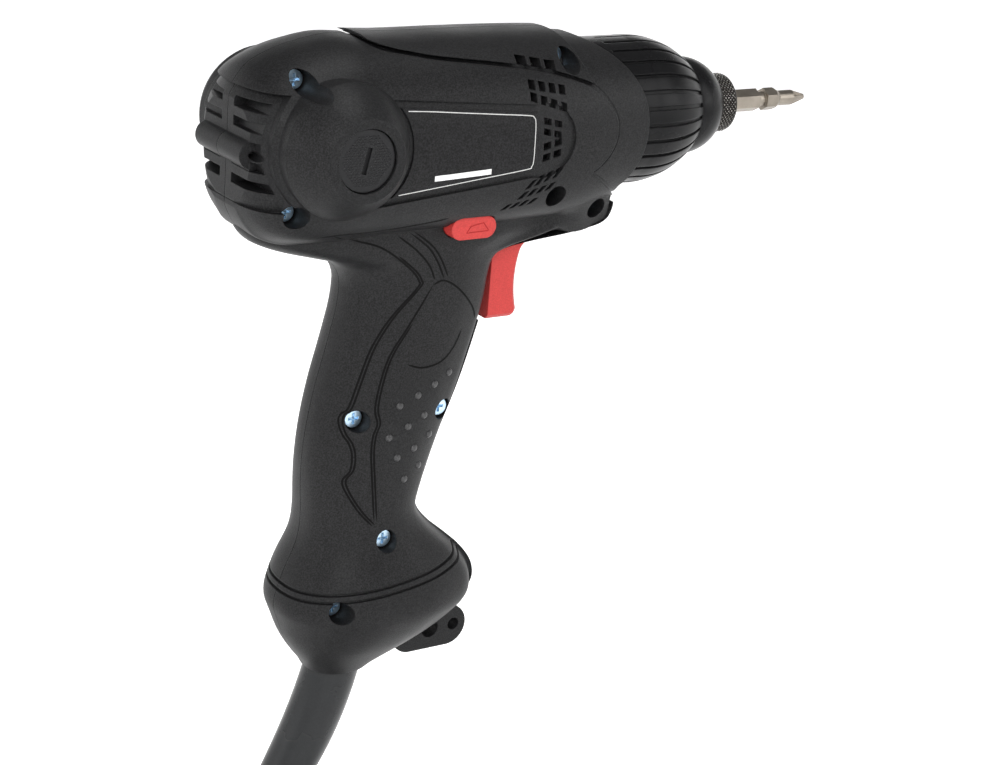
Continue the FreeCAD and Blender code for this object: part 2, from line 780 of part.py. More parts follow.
def surface_cuts():
    """Shallow cuts in the skin: louver field, panel groove, front band, label field and base rings."""
    chin = on_body(CHIN_LINE_SHARES)
    nose = on_body(WING_NOSE_SHARES)
    tip = on_body(PANEL_EDGE_SHARES[8:])
    ahead = body_front + OVERRUN
    sky = SPINDLE_HEIGHT + BODY_TOP + OVERRUN
    groove = stripe(on_body(PANEL_EDGE_SHARES), GROOVE_WIDTH, -reach_y, 0)
    groove = groove.fuse(stripe(chin, GROOVE_WIDTH, -reach_y, 0))
    sides = [nose, tip, [chin[1], (ahead, chin[1][1])], [(ahead, sky), (nose[0][0], sky)]]
    band = smooth_plate(sides, -reach_y, 0)
    low, high = SPINDLE_HEIGHT - LOUVER_LOW, SPINDLE_HEIGHT + LOUVER_TOP
    louver = block(BODY_REAR - OVERRUN, BRUSH_X, -reach_y, 0, low, high)
    louver = louver.cut(cross_rod(BRUSH_X, SPINDLE_HEIGHT, -reach_y, 0, LOUVER_SURROUND)).common(body_form(0))
    return [
        louver.cut(body_form(-LOUVER_RECESS, True)),
        groove.cut(body_form(-GROOVE_DEPTH, True)),
        band.cut(body_form(-BAND_DEPTH, True)),
        label_recess().cut(body_form(-LABEL_DEPTH, True)),
        base_rings(),
    ]


def base_rings():
    """Two fine rings cut round the base, rising to the front."""
    rings = []
    slope = BASE_RING_RISE / BASE_RING_SPAN
    for k in range(2):
        z = BASE_RING_REAR_Z - k * BASE_RING_STEP
        low = z - slope * BASE_RING_SPAN / 2
        high = z + slope * BASE_RING_SPAN * 3 / 2
        steps = (
            (-BASE_RING_SPAN, low),
            (BASE_RING_SPAN, high),
            (BASE_RING_SPAN, high + BASE_RING_WIDTH),
            (-BASE_RING_SPAN, low + BASE_RING_WIDTH),
        )
        rings.append(side_plate(steps, -reach_y, 0))
    return rings[0].fuse(rings[1]).cut(grip_form(-GROOVE_DEPTH, True))


def vents():
    """Slanted cooling slots beside the fan."""
    slots = []
    for along, above, *sizes, columns, rows in VENT_GROUP_SHARES:
        run, height, lean, rise = (share * BODY_HALF_WIDTH for share in sizes)
        (x, z), = on_body(((along, above),))
        for row in range(rows):
            for column in range(columns):
                left = x + column * (run + VENT_BAR)
                low = z + row * (height + VENT_BAR) + column * rise
                steps = (
                    (left, low),
                    (left + run, low + rise * run / (run + VENT_BAR)),
                    (left + run + lean, low + height + rise * run / (run + VENT_BAR)),
                    (left + lean, low + height),
                )
                slots.append(side_plate(steps, -reach_y, -HOLDER_INNER))
    return slots


def louvers():
    """Level slots round the rear corner."""
    slots = []
    surround = cross_rod(BRUSH_X, SPINDLE_HEIGHT, -reach_y, 0, LOUVER_SURROUND + WALL / 2)
    inside = rear_bearing_rear + FIT
    keep = rear_bar(SLIDE)
    for k in range(LOUVER_COUNT):
        low = SPINDLE_HEIGHT + (k - (LOUVER_COUNT - 1) / 2) * LOUVER_PITCH - LOUVER_HEIGHT / 2
        slot = block(BODY_REAR - OVERRUN, inside, -reach_y, -LOUVER_SPINE, low, low + LOUVER_HEIGHT)
        slots.append(slot.cut([surround, keep]))
    return slots


def screw_places():
    """Where each housing screw stands: x, z and how far its head's seat lies from the seam."""
    places = []
    for along, above, seat in SCREW_BODY_SHARES:
        (x, z), = on_body(((along, above),))
        places.append((x, z, seat * BODY_HALF_WIDTH))
    places.append((SCREW_CHIN_X, SPINDLE_HEIGHT - SCREW_CHIN_DROP, SCREW_CHIN_SEAT))
    places.append((SCREW_PALM_REAR_X, SCREW_PALM_Z, SCREW_PALM_SEAT))
    places.append((SCREW_PALM_FRONT_X, SCREW_PALM_Z, SCREW_PALM_SEAT))
    places.append((SCREW_WAIST_X, SCREW_WAIST_Z, SCREW_WAIST_SEAT))
    places.append((SCREW_BASE_X, SCREW_BASE_Z, SCREW_BASE_SEAT))
    return places


def guard_point(share):
    """A point on the guard's bent axis and its lean there, in radians from straight down."""
    lean = math.radians(GUARD_LEAN)
    end = math.radians(GUARD_END_LEAN)
    bow = GUARD_LENGTH / (end - lean)
    here = lean + share * (end - lean)
    x = GUARD_X + bow * (math.cos(here) - math.cos(lean))
    z = grip_bottom - bow * (math.sin(here) - math.sin(lean))
    return Vector(x, 0, z), here


def guard_bar(start, end, radius):
    """A round bar along the guard's axis inside the base, by its distances above the mouth."""
    mouth, lean = guard_point(0)
    up = Vector(math.sin(lean), 0, math.cos(lean))
    return Part.makeCylinder(radius, end - start, mouth + up * start, up)


def tail_at(z):
    """Where the cord's axis lies inside the base, at a height."""
    return GUARD_X + (z - grip_bottom) * math.tan(math.radians(GUARD_LEAN))


def barrel_keeps():
    """Ribs, seats and bosses that stand inside the barrel."""
    keeps = []
    for x in (STATOR_REAR + RIB_INSET, stator_front - RIB_INSET - RIB_WIDTH):
        keeps.append(tube(x, x + RIB_WIDTH, BODY_HALF_WIDTH + OVERRUN, STATOR_RADIUS + FIT))
    keeps.append(rod(BODY_REAR, rear_bearing_rear + BEARING_WIDTH, BEARING_RADIUS + BEARING_SEAT_WALL))
    keeps.append(rod(PLATE_REAR, body_front + BODY_LENGTH, BODY_HALF_WIDTH + OVERRUN))
    for x, z, _ in screw_places()[:4]:
        keeps.append(cross_rod(x, z, -reach_y, reach_y, SCREW_BOSS))
    return keeps


def grip_keeps():
    """Shelves and bosses that stand inside the grip, and the wall round the nose above the chin."""
    keeps = [cross_rod(x, z, -reach_y, reach_y, SCREW_BOSS) for x, z, _ in screw_places()[4:]]
    switch_shelf = SWITCH_LOW + SWITCH_HEIGHT / 3
    capacitor_shelf = capacitor_low - SHELF_THICK
    for low, front in ((switch_shelf, switch_front), (capacitor_shelf, SWITCH_REAR + CAPACITOR_LENGTH)):
        keeps.append(block(-PALM_DEPTH, front, -reach_y, reach_y, low, low + SHELF_THICK))
    keeps.append(rod(PLATE_REAR, body_front + BODY_LENGTH, SLEEVE_RADIUS + WALL))
    chin_low = TRIGGER_LOW + TRIGGER_HEIGHT + SLIDE + WALL
    keeps.append(block(PLATE_REAR, body_front, -reach_y, reach_y, chin_low, SPINDLE_HEIGHT))
    return keeps


def button_form(grow):
    """The oval of the reversing button."""
    half = (REVERSE_LENGTH - REVERSE_HEIGHT) / 2
    radius = REVERSE_HEIGHT / 2 + grow
    return (
        (REVERSE_X - half, reverse_z - radius),
        (REVERSE_X + half, reverse_z - radius),
        ((REVERSE_X + half + radius, reverse_z), (REVERSE_X + half, reverse_z + radius)),
        (REVERSE_X - half, reverse_z + radius),
        ((REVERSE_X - half - radius, reverse_z), (REVERSE_X - half, reverse_z - radius)),
    )


def tab_form(grow):
    """The hanging tab's outline, with its root inside the base."""
    radius = TAB_RADIUS + grow
    corner = radius * math.sqrt(0.5)
    top = TAB_Z + TAB_RADIUS + TAB_ROOT_RISE + grow
    return (
        (TAB_REAR_X, TAB_Z - radius),
        (TAB_FRONT_X, TAB_Z - radius),
        ((TAB_FRONT_X + radius, TAB_Z), (TAB_FRONT_X, TAB_Z + radius)),
        (TAB_ROOT_FRONT + grow, TAB_Z + radius),
        (TAB_ROOT_FRONT + grow, top),
        (TAB_REAR_X - radius, top),
        (TAB_REAR_X - radius, TAB_Z),
        ((TAB_REAR_X - corner, TAB_Z - corner), (TAB_REAR_X, TAB_Z - radius)),
    )


def openings():
    """Everything that is bored or cut right through the shell."""
    cap_seat = CAP_RECESS - BOSS_FACE
    bar_x, bar_hole = BODY_REAR + REAR_BAR_INSET, -REAR_BAR_HALF
    trigger_top = TRIGGER_LOW + TRIGGER_HEIGHT
    wide = TRIGGER_HALF_WIDTH + SLIDE
    box = SWITCH_HALF_WIDTH + FIT
    return [
        rod(rear_bearing_rear, rear_bearing_rear + BEARING_WIDTH + OVERRUN, BEARING_RADIUS + FIT),
        rod(STATOR_REAR - FIT, stator_front + FIT, STATOR_RADIUS + FIT),
        rod(PLATE_REAR - OVERRUN, flange_front + FIT, flange_outer + FIT),
        rod(flange_front, sleeve_back + FIT, drum_outer + FIT),
        rod(sleeve_back, body_front + BODY_LENGTH, SLEEVE_RADIUS + FIT),
        cross_rod(BRUSH_X, SPINDLE_HEIGHT, -reach_y, 0, HOLDER_RADIUS + FIT),
        cross_rod(BRUSH_X, SPINDLE_HEIGHT, -reach_y, cap_seat, CAP_RADIUS + SLIDE),
        cross_rod(bar_x, rear_bar_z, bar_hole - OVERRUN, bar_hole + REAR_BAR_HOLE_DEPTH, REAR_BAR_HOLE),
        side_plate(button_form(SLIDE), -reach_y, 0),
        side_plate(tab_form(FIT), -TAB_HALF_THICK - FIT, 0),
        guard_bar(-OVERRUN, GUARD_ROOT, GUARD_RADIUS + FIT),
        guard_bar(GUARD_ROOT - GUARD_FLANGE_THICK, GUARD_ROOT + OVERRUN, GUARD_FLANGE + FIT),
        block(switch_front, body_front, -wide, 0, TRIGGER_LOW - SLIDE, trigger_top + SLIDE),
        block(SWITCH_REAR - FIT, switch_front + FIT, -box, 0, SWITCH_LOW - FIT, switch_top + FIT),
    ]


def rim_cut():
    """What is trimmed off the barrel's front: the rim bows at mid height and stands straight below."""
    bow_x = body_front - RIM_BOW
    drop = BODY_BOTTOM * RIM_LOW_SHARE
    straight_x = bow_x + math.sqrt(RIM_BOW**2 - drop**2)
    ahead = block(bow_x, body_front + OVERRUN, -reach_y, 0, 0, SPINDLE_HEIGHT + reach_y)
    bow = cross_rod(bow_x, SPINDLE_HEIGHT, -reach_y, reach_y, RIM_BOW)
    return ahead.cut([bow, block(bow_x, straight_x, -reach_y, reach_y, 0, SPINDLE_HEIGHT - drop)])


def biggest(shape):
    """The main solid of a cut shape."""
    return max(shape.Solids, key=lambda solid: solid.Volume)


def half_shell():
    """The right half of the housing before its screw holes; the left one mirrors it."""
    shell = body_form(0).cut(rim_cut()).fuse([grip_form(0), wing()])
    for field in surface_cuts():
        shell = shell.cut(field)
    cavity = body_form(-WALL, True, CAVITY_FIRST, OVERRUN).cut(barrel_keeps())
    hollow = grip_form(-WALL, True, CAVITY_LAST).cut(grip_keeps())
    shell = shell.fuse([brush_boss(), rear_bar()]).cut([cavity, hollow])
    shell = shell.cut(openings()).cut(vents())
    for slot in louvers():
        shell = shell.cut(slot)
    return shell


def housing():
    """The two halves of the housing, right and left, with their screw holes."""
    shell = half_shell()
    clamp_x = tail_at(CLAMP_Z)
    low, high = CLAMP_Z - CLAMP_HEIGHT / 2, CLAMP_Z + CLAMP_HEIGHT / 2
    saddle = block(clamp_x - CLAMP_HALF_SPAN, clamp_x + CLAMP_HALF_SPAN, -reach_y, -CORD_RADIUS, low, high)
    saddle = saddle.common(grip_form(-WALL / 2))
    sinks = []
    pilots = []
    for x, z, seat in screw_places():
        sinks.append(cross_rod(x, z, -reach_y, -seat, SCREW_HOLE))
        sinks.append(cross_rod(x, z, -reach_y, 0, SCREW_SHANK + RUN))
        pilots.append(cross_rod(x, z, 0, SCREW_REACH + SLIDE, SCREW_SHANK + FIT))
    for x in (clamp_x - CLAMP_SCREW_SPREAD, clamp_x + CLAMP_SCREW_SPREAD):
        sinks.append(cross_rod(x, CLAMP_Z, -CORD_RADIUS - SCREW_REACH - SLIDE, 0, CLAMP_SCREW + FIT))
    right = shell.fuse(saddle).cut(sinks)
    left = mirrored(shell).cut(pilots)
    return biggest(right), biggest(left)


def cross_screw(x, z, seat, tip, head, head_thick, shank, facing):
    """A cross-head screw across the tool; facing is -1 where it is driven from the right."""
    top = seat + facing * head_thick
    screw = cross_rod(x, z, seat, top, head).fuse(cross_rod(x, z, tip, seat, shank))
    half = head * SCREW_CROSS_SPAN_SHARE
    deep = sorted((top - facing * SCREW_CROSS_DEPTH, top + facing * OVERRUN))
    narrow = SCREW_CROSS / 2
    slots = [
        block(x - half, x + half, *deep, z - narrow, z + narrow),
        block(x - narrow, x + narrow, *deep, z - half, z + half),
    ]
    return screw.cut(slots)


def housing_screws():
    """Nine alike screws that draw the halves together."""
    screws = [
        cross_screw(x, z, -seat, SCREW_REACH, SCREW_HEAD, SCREW_HEAD_THICK, SCREW_SHANK, -1)
        for x, z, seat in screw_places()
    ]
    return Part.makeCompound(screws)


# Brush gear on the right side; the left one mirrors it
def brush_cap():
    """The slotted cap that closes a brush holder."""
    seat = CAP_RECESS - BOSS_FACE
    face = seat - CAP_THICK
    disc = cross_rod(BRUSH_X, SPINDLE_HEIGHT, seat, face, CAP_RADIUS)
    stem = cross_rod(BRUSH_X, SPINDLE_HEIGHT, seat, seat + CAP_STEM_LENGTH, CAP_STEM_RADIUS)
    half, wide = CAP_SLOT_LENGTH / 2, CAP_SLOT_WIDTH / 2
    slot = block(BRUSH_X - wide, BRUSH_X + wide, face - OVERRUN, face + CAP_SLOT_DEPTH, -half, half)
    slot.translate(Vector(0, 0, SPINDLE_HEIGHT))
    slot.rotate(Vector(BRUSH_X, 0, SPINDLE_HEIGHT), Vector(0, 1, 0), CAP_SLOT_TILT)
    return disc.fuse(stem).cut(slot)


def brush_channel(y0, y1, clearance):
    """A square bar along the brush axis."""
    wide, high = BRUSH_WIDTH / 2 + clearance, BRUSH_HEIGHT / 2 + clearance
    return block(BRUSH_X - wide, BRUSH_X + wide, y0, y1, SPINDLE_HEIGHT - high, SPINDLE_HEIGHT + high)


def brush_holder():
    """The brass tube that guides a carbon brush."""
    seat = CAP_RECESS - BOSS_FACE + FIT
    holder = cross_rod(BRUSH_X, SPINDLE_HEIGHT, seat, -HOLDER_INNER, HOLDER_RADIUS)
    end = seat + CAP_STEM_LENGTH
    thread = cross_rod(BRUSH_X, SPINDLE_HEIGHT, seat - OVERRUN, end, CAP_STEM_RADIUS + FIT)
    return holder.cut([thread, brush_channel(-BOSS_FACE, 0, RUN)])


def carbon_brush():
    """A carbon block with its end hollowed to the commutator."""
    end = -COMMUTATOR_RADIUS - BRUSH_LENGTH
    hollow = rod(BRUSH_X - BOSS_FACE, BRUSH_X + BOSS_FACE, COMMUTATOR_RADIUS + RUN)
    return brush_channel(end, -COMMUTATOR_RADIUS / 2, 0).cut(hollow)


def brush_spring():
    """The spring between a brush and its cap."""
    outer = CAP_RECESS - BOSS_FACE + CAP_STEM_LENGTH
    inner = -COMMUTATOR_RADIUS - BRUSH_LENGTH
    start = Vector(BRUSH_X, outer, SPINDLE_HEIGHT)
    return helix(start, Vector(0, 1, 0), BRUSH_SPRING_RADIUS, BRUSH_WIRE, BRUSH_TURNS, inner - outer)


# Motor
def wedge(x0, x1, half_angle, down=False):
    """A sector about the spindle, half_angle to each side of straight up or straight down."""
    reach = BODY_HALF_WIDTH * 2
    sign = -1 if down else 1
    a = math.radians(half_angle)
    rays = [(math.sin(a * share), math.cos(a * share)) for share in (1, 0.5, 0, -0.5, -1)]
    points = [(0, 0)] + rays + [(0, 0)]
    ring = [Vector(x0, reach * y, SPINDLE_HEIGHT + sign * reach * z) for y, z in points]
    return Part.Face(Part.makePolygon(ring)).extrude(Vector(x1 - x0, 0, 0))


def stator_core():
    """The laminated ring with its two poles."""
    rear, front = STATOR_REAR - OVERRUN, stator_front + OVERRUN
    slot = tube(rear, front, STATOR_RADIUS - STATOR_YOKE, STATOR_BORE / 2)
    for down in (False, True):
        slot = slot.cut(wedge(rear - OVERRUN, front + OVERRUN, POLE_HALF_ANGLE, down))
    return tube(STATOR_REAR, stator_front, STATOR_RADIUS, STATOR_BORE).cut(slot)


def field_coils():
    """Two saddle coils, one round each pole."""
    coils = []
    outer, inner = STATOR_RADIUS - STATOR_YOKE - COIL_INSET, STATOR_BORE + COIL_INSET
    ring = tube(STATOR_REAR - COIL_OVERHANG, stator_front + COIL_OVERHANG, outer, inner)
    for down in (False, True):
        sector = wedge(STATOR_REAR - BODY_LENGTH, body_front, COIL_HALF_ANGLE, down)
        pole_half = POLE_HALF_ANGLE + COIL_INSET
        pole = wedge(STATOR_REAR - COIL_INSET, stator_front + COIL_INSET, pole_half, down)
        coils.append(ring.common(sector).cut(pole))
    return Part.makeCompound(coils)


def armature_shaft():
    """The motor's shaft, stepped for its bearings and its pinion."""
    journal = BEARING_BORE - FIT
    rear = rear_bearing_rear + SLIDE
    rear_step = rear_bearing_rear + BEARING_WIDTH + SLIDE
    front_step = front_bearing_rear - SLIDE
    pinion = plate_front
    steps = (
        (rear, 0),
        (rear, journal),
        (rear_step, journal),
        (rear_step, SHAFT_RADIUS),
        (front_step, SHAFT_RADIUS),
        (front_step, journal),
        (pinion, journal),
        (pinion, PINION_BORE),
        (gear_front, PINION_BORE),
        (gear_front, 0),
    )
    return spun(steps)


def turned(shape, angle):
    """A copy turned about the spindle axis, in radians."""
    copy = shape.copy()
    copy.rotate(Vector(0, 0, SPINDLE_HEIGHT), Vector(1, 0, 0), math.degrees(angle))
    return copy


def radial_bar(x0, x1, width, inner, outer):
    """A bar standing up from the spindle axis."""
    return block(x0, x1, -width / 2, width / 2, SPINDLE_HEIGHT + inner, SPINDLE_HEIGHT + outer)


def armature_core():
    """The slotted stack of laminations on the shaft."""
    inner = armature_radius - ARMATURE_SLOT_DEPTH
    rear, front = core_rear - OVERRUN, core_front + OVERRUN
    bar = radial_bar(rear, front, ARMATURE_SLOT, inner, armature_radius + OVERRUN)
    core = tube(core_rear, core_front, armature_radius, SHAFT_RADIUS + FIT)
    return core.cut([turned(bar, a) for a in turns_of(ARMATURE_SLOTS)])


def armature_winding():
    """Copper bars in the slots, joined by a turned bundle at each end."""
    inner = armature_radius - ARMATURE_SLOT_DEPTH + COIL_INSET
    outer = armature_radius - COIL_INSET
    rear, front = core_rear - WINDING_OVERHANG, core_front + WINDING_OVERHANG
    bar = radial_bar(rear, front, ARMATURE_SLOT - COIL_INSET * 2, inner, outer - COIL_INSET)
    ends = [
        tube(rear, core_rear - COIL_INSET, outer, SHAFT_RADIUS + FIT),
        tube(core_front + COIL_INSET, front, outer, SHAFT_RADIUS + FIT),
    ]
    return ends[0].fuse(ends[1:] + [turned(bar, a) for a in turns_of(ARMATURE_SLOTS)])


def commutator():
    """Copper segments that the brushes run on."""
    rear, front = BRUSH_X - COMMUTATOR_LENGTH / 2, BRUSH_X + COMMUTATOR_LENGTH / 2
    inner = COMMUTATOR_RADIUS - COMMUTATOR_SLOT * 2
    bar = radial_bar(rear - OVERRUN, front + OVERRUN, COMMUTATOR_SLOT, inner, COMMUTATOR_RADIUS + OVERRUN)
    body = tube(rear, front, COMMUTATOR_RADIUS, SHAFT_RADIUS + FIT)
    return body.cut([turned(bar, a) for a in turns_of(COMMUTATOR_BARS)])


def cooling_fan():
    """The bladed wheel that draws air over the motor."""
    front = FAN_REAR + FAN_LENGTH
    root, tip = FAN_HUB - FAN_BLADE, FAN_RADIUS - FAN_BLADE
    blade = radial_bar(FAN_REAR, front - FAN_DISC / 2, FAN_BLADE, root, tip)
    blade.rotate(Vector(0, 0, SPINDLE_HEIGHT + FAN_HUB), Vector(1, 0, 0), FAN_SWEEP)
    wheel = rod(FAN_REAR, front, FAN_HUB).fuse(rod(front - FAN_DISC, front, FAN_RADIUS))
    wheel = wheel.fuse([turned(blade, a) for a in turns_of(FAN_BLADES)])
    return wheel.cut(rod(FAN_REAR - OVERRUN, front + OVERRUN, SHAFT_RADIUS + FIT))


def ball_bearing(rear):
    """A shielded bearing, seen as its two races and the shields between them."""
    front = rear + BEARING_WIDTH
    shield_outer, shield_inner = BEARING_RADIUS - BEARING_RACE, BEARING_BORE + BEARING_RACE
    body = tube(rear, front, BEARING_RADIUS, BEARING_BORE)
    dents = [
        tube(rear - OVERRUN, rear + BEARING_SHIELD, shield_outer, shield_inner),
        tube(front - BEARING_SHIELD, front + OVERRUN, shield_outer, shield_inner),
    ]
    return body.cut(dents)


# Planetary stage
def gear_form(teeth, x0, x1, middle_z, tip_share, root_share, thinning):
    """A spur gear with an arc through three points of each involute flank, and a tooth straight up."""
    pitch = GEAR_MODULE * teeth / 2
    base = pitch * math.cos(math.radians(PRESSURE_ANGLE))
    tip = pitch + tip_share * GEAR_MODULE
    root = pitch - root_share * GEAR_MODULE
    foot = max(root, base)

    def spread(radius):
        slope = math.acos(min(base / radius, 1))
        return math.tan(slope) - slope

    def place(angle, radius):
        return Vector(x0, radius * math.sin(angle), middle_z + radius * math.cos(angle))

    half = (math.pi * GEAR_MODULE / 2 - thinning) / (2 * pitch) + spread(pitch)
    radii = [foot + (tip - foot) * k / (FLANK_POINTS - 1) for k in range(FLANK_POINTS)]
    edges = []
    ends = []
    for a in turns_of(teeth):
        for sign, order in ((-1, radii), (1, radii[::-1])):
            points = [place(a + sign * (half - spread(r)), r) for r in order]
            low = place(a + sign * (half - spread(foot)), root)
            parts = [(low, points[0], None)] if foot > root and sign < 0 else []
            parts.append((points[0], points[-1], Part.Arc(*points).toShape()))
            parts += [(points[-1], low, None)] if foot > root and sign > 0 else []
            ends += parts
    for k, (start, end, shape) in enumerate(ends):
        edges.append(shape or Part.LineSegment(start, end).toShape())
        after = ends[(k + 1) % len(ends)][0]
        if end.distanceToPoint(after) > GEAR_MODULE * JOIN_SHARE:
            edges.append(Part.LineSegment(end, after).toShape())
    return Part.Face(Part.Wire(edges)).extrude(Vector(x1 - x0, 0, 0))


def sun_pinion():
    """The pinion pressed on the motor's shaft."""
    shares = ADDENDUM_SHARE, DEDENDUM_SHARE
    gear = gear_form(SUN_TEETH, gear_rear, gear_front, SPINDLE_HEIGHT, *shares, BACKLASH)
    return gear.cut(rod(gear_rear - OVERRUN, gear_front + OVERRUN, PINION_BORE + FIT / 2))


def planet_gear(side):
    """One planet gear, above (1) or below (-1) the sun, with a gap that faces the sun's tooth."""
    z = SPINDLE_HEIGHT + side * planet_orbit
    gear = gear_form(PLANET_TEETH, gear_rear, gear_front, z, ADDENDUM_SHARE, DEDENDUM_SHARE, BACKLASH)
    gear.rotate(Vector(0, 0, z), Vector(1, 0, 0), 180 / PLANET_TEETH)
    start = Vector(gear_rear - OVERRUN, 0, z)
    pin = Part.makeCylinder(PLANET_PIN + RUN, GEAR_WIDTH + OVERRUN * 2, start, Vector(1, 0, 0))
    return gear.cut(pin)


def ring_gear():
    """The fixed ring with inner teeth, held in the hammer case."""
    space = gear_form(
        ring_teeth,
        gear_rear - OVERRUN,
        gear_front + OVERRUN,
        SPINDLE_HEIGHT,
        DEDENDUM_SHARE,
        ADDENDUM_SHARE,
        -BACKLASH,
    )
    space = turned(space, math.pi / ring_teeth)
    return rod(plate_front, gear_front, ring_outer).cut(space)


def planet_pins():
    """Two pins pressed in the carrier."""
    pins = []
    for side in (1, -1):
        base = Vector(gear_rear, 0, SPINDLE_HEIGHT + side * planet_orbit)
        pins.append(Part.makeCylinder(PLANET_PIN, carrier_front - gear_rear, base, Vector(1, 0, 0)))
    return Part.makeCompound(pins)


def gearcase_plate():
    """The plate behind the gears, with the seat of the front bearing."""
    hub_rear = front_bearing_rear
    plate = rod(PLATE_REAR, plate_front, flange_outer).fuse(
        rod(hub_rear, plate_front, BEARING_RADIUS + BEARING_SEAT_WALL)
    )
    bores = [
        rod(hub_rear - OVERRUN, front_bearing_rear + BEARING_WIDTH, BEARING_RADIUS + FIT),
        rod(hub_rear - OVERRUN, plate_front + OVERRUN, BEARING_RADIUS - BEARING_RACE),
    ]
    return plate.cut(bores)


# Impact mechanism
def ball_places():
    """Centres of the two cam balls, half sunk in the camshaft."""
    x = hammer_rear + (HAMMER_POCKET_DEPTH + HAMMER_LENGTH) / 2
    return [Vector(x, side * CAM_RADIUS, SPINDLE_HEIGHT) for side in (1, -1)]


def camshaft():
    """The planet carrier and the cam shaft in one piece."""
    end = ear_rear - SLIDE
    steps = (
        (carrier_rear, 0),
        (carrier_rear, CARRIER_RADIUS),
        (carrier_front, CARRIER_RADIUS),
        (carrier_front, CAM_RADIUS),
        (end, CAM_RADIUS),
        (end, CAM_PILOT),
        (end + CAM_PILOT_LENGTH, CAM_PILOT),
        (end + CAM_PILOT_LENGTH, 0),
    )
    holes = [Part.makeSphere(CAM_BALL + FIT, place) for place in ball_places()]
    for side in (1, -1):
        base = Vector(carrier_rear - OVERRUN, 0, SPINDLE_HEIGHT + side * planet_orbit)
        holes.append(Part.makeCylinder(PLANET_PIN + FIT, CARRIER_THICK + OVERRUN * 2, base, Vector(1, 0, 0)))
    return spun(steps).cut(holes)


def cam_balls():
    return Part.makeCompound([Part.makeSphere(CAM_BALL, place) for place in ball_places()])


def hammer():
    """The sliding hammer with its spring pocket, ball ways and two lugs."""
    pocket_end = hammer_rear + HAMMER_POCKET_DEPTH
    body = rod(hammer_rear, hammer_front, HAMMER_RADIUS)
    lugs = tube(hammer_front - FIT, hammer_front + LUG_LENGTH, LUG_OUTER, LUG_INNER)
    for down in (False, True):
        sector = wedge(hammer_front - OVERRUN, hammer_front + LUG_LENGTH + OVERRUN, LUG_HALF_ANGLE, down)
        body = body.fuse(lugs.common(sector))
    cuts = [
        rod(hammer_rear - OVERRUN, hammer_front + OVERRUN, CAM_RADIUS + RUN),
        tube(hammer_rear - OVERRUN, pocket_end, HAMMER_POCKET_OUTER, HAMMER_POCKET_INNER),
    ]
    for place in ball_places():
        way = Part.makeCylinder(CAM_BALL + RUN, HAMMER_LENGTH, place, Vector(1, 0, 0))
        cuts.append(way.fuse(Part.makeSphere(CAM_BALL + RUN, place)))
    return body.cut(cuts)


def hammer_spring():
    """The spring that throws the hammer forwards."""
    start = Vector(carrier_front, 0, SPINDLE_HEIGHT)
    length = hammer_rear + HAMMER_POCKET_DEPTH - carrier_front
    radius = (HAMMER_POCKET_INNER + HAMMER_POCKET_OUTER) / 2
    return helix(start, Vector(1, 0, 0), radius, SPRING_WIRE, SPRING_TURNS, length)


def anvil():
    """The struck shaft with two ears, and the hexagonal socket for bits."""
    steps = (
        (ear_rear, 0),
        (ear_rear, ANVIL_RADIUS),
        (nose_rear, ANVIL_RADIUS),
        (nose_rear, nose_radius),
        (COLLAR_FACE - SLIDE, nose_radius),
        (COLLAR_FACE - SLIDE, 0),
    )
    ears = block(
        ear_rear,
        ear_front,
        -EAR_RADIUS - OVERRUN,
        EAR_RADIUS + OVERRUN,
        SPINDLE_HEIGHT - EAR_HALF_WIDTH,
        SPINDLE_HEIGHT + EAR_HALF_WIDTH,
    ).common(rod(ear_rear, ear_front, EAR_RADIUS))
    cuts = [
        rod(ear_rear - OVERRUN, ear_rear - SLIDE + CAM_PILOT_LENGTH + SLIDE, CAM_PILOT + RUN),
        hex_bar(bit_rear - SLIDE, COLLAR_FACE + OVERRUN, HEX_FLATS + RUN, True),
    ]
    for place in detent_places():
        middle = Vector(place.x, 0, SPINDLE_HEIGHT)
        cuts.append(Part.makeCylinder(DETENT_BALL + FIT, ANVIL_RADIUS, middle, place - middle))
    return spun(steps).fuse(ears).cut(cuts)


def detent_places():
    """Centres of the two balls that hold the bit, between its flats and the collar."""
    x = collar_back + COLLAR_LAND / 2
    reach = HEX_FLATS / 2 + RUN + DETENT_BALL
    return [Vector(x, side * reach, SPINDLE_HEIGHT) for side in (1, -1)]


def detent_balls():
    return Part.makeCompound([Part.makeSphere(DETENT_BALL, place) for place in detent_places()])


def anvil_bush():
    """The plain bush that the anvil turns in."""
    return tube(drum_front, neck_front, ANVIL_RADIUS + BUSH_WALL, ANVIL_RADIUS + RUN)


def hammer_case():
    """The metal case round the gears and the hammer."""
    inner = drum_outer - CASE_WALL
    bush = ANVIL_RADIUS + BUSH_WALL + FIT
    steps = (
        (plate_front, flange_outer),
        (flange_front, flange_outer),
        (flange_front, drum_outer),
        (drum_front, drum_outer),
        (neck_rear, CASE_NECK_RADIUS),
        (neck_front, CASE_NECK_RADIUS),
        (neck_front, bush),
        (drum_front, bush),
        (drum_front, inner),
        (gear_front + FIT, inner),
        (gear_front + FIT, ring_outer + FIT),
        (plate_front, ring_outer + FIT),
    )
    return spun(steps)


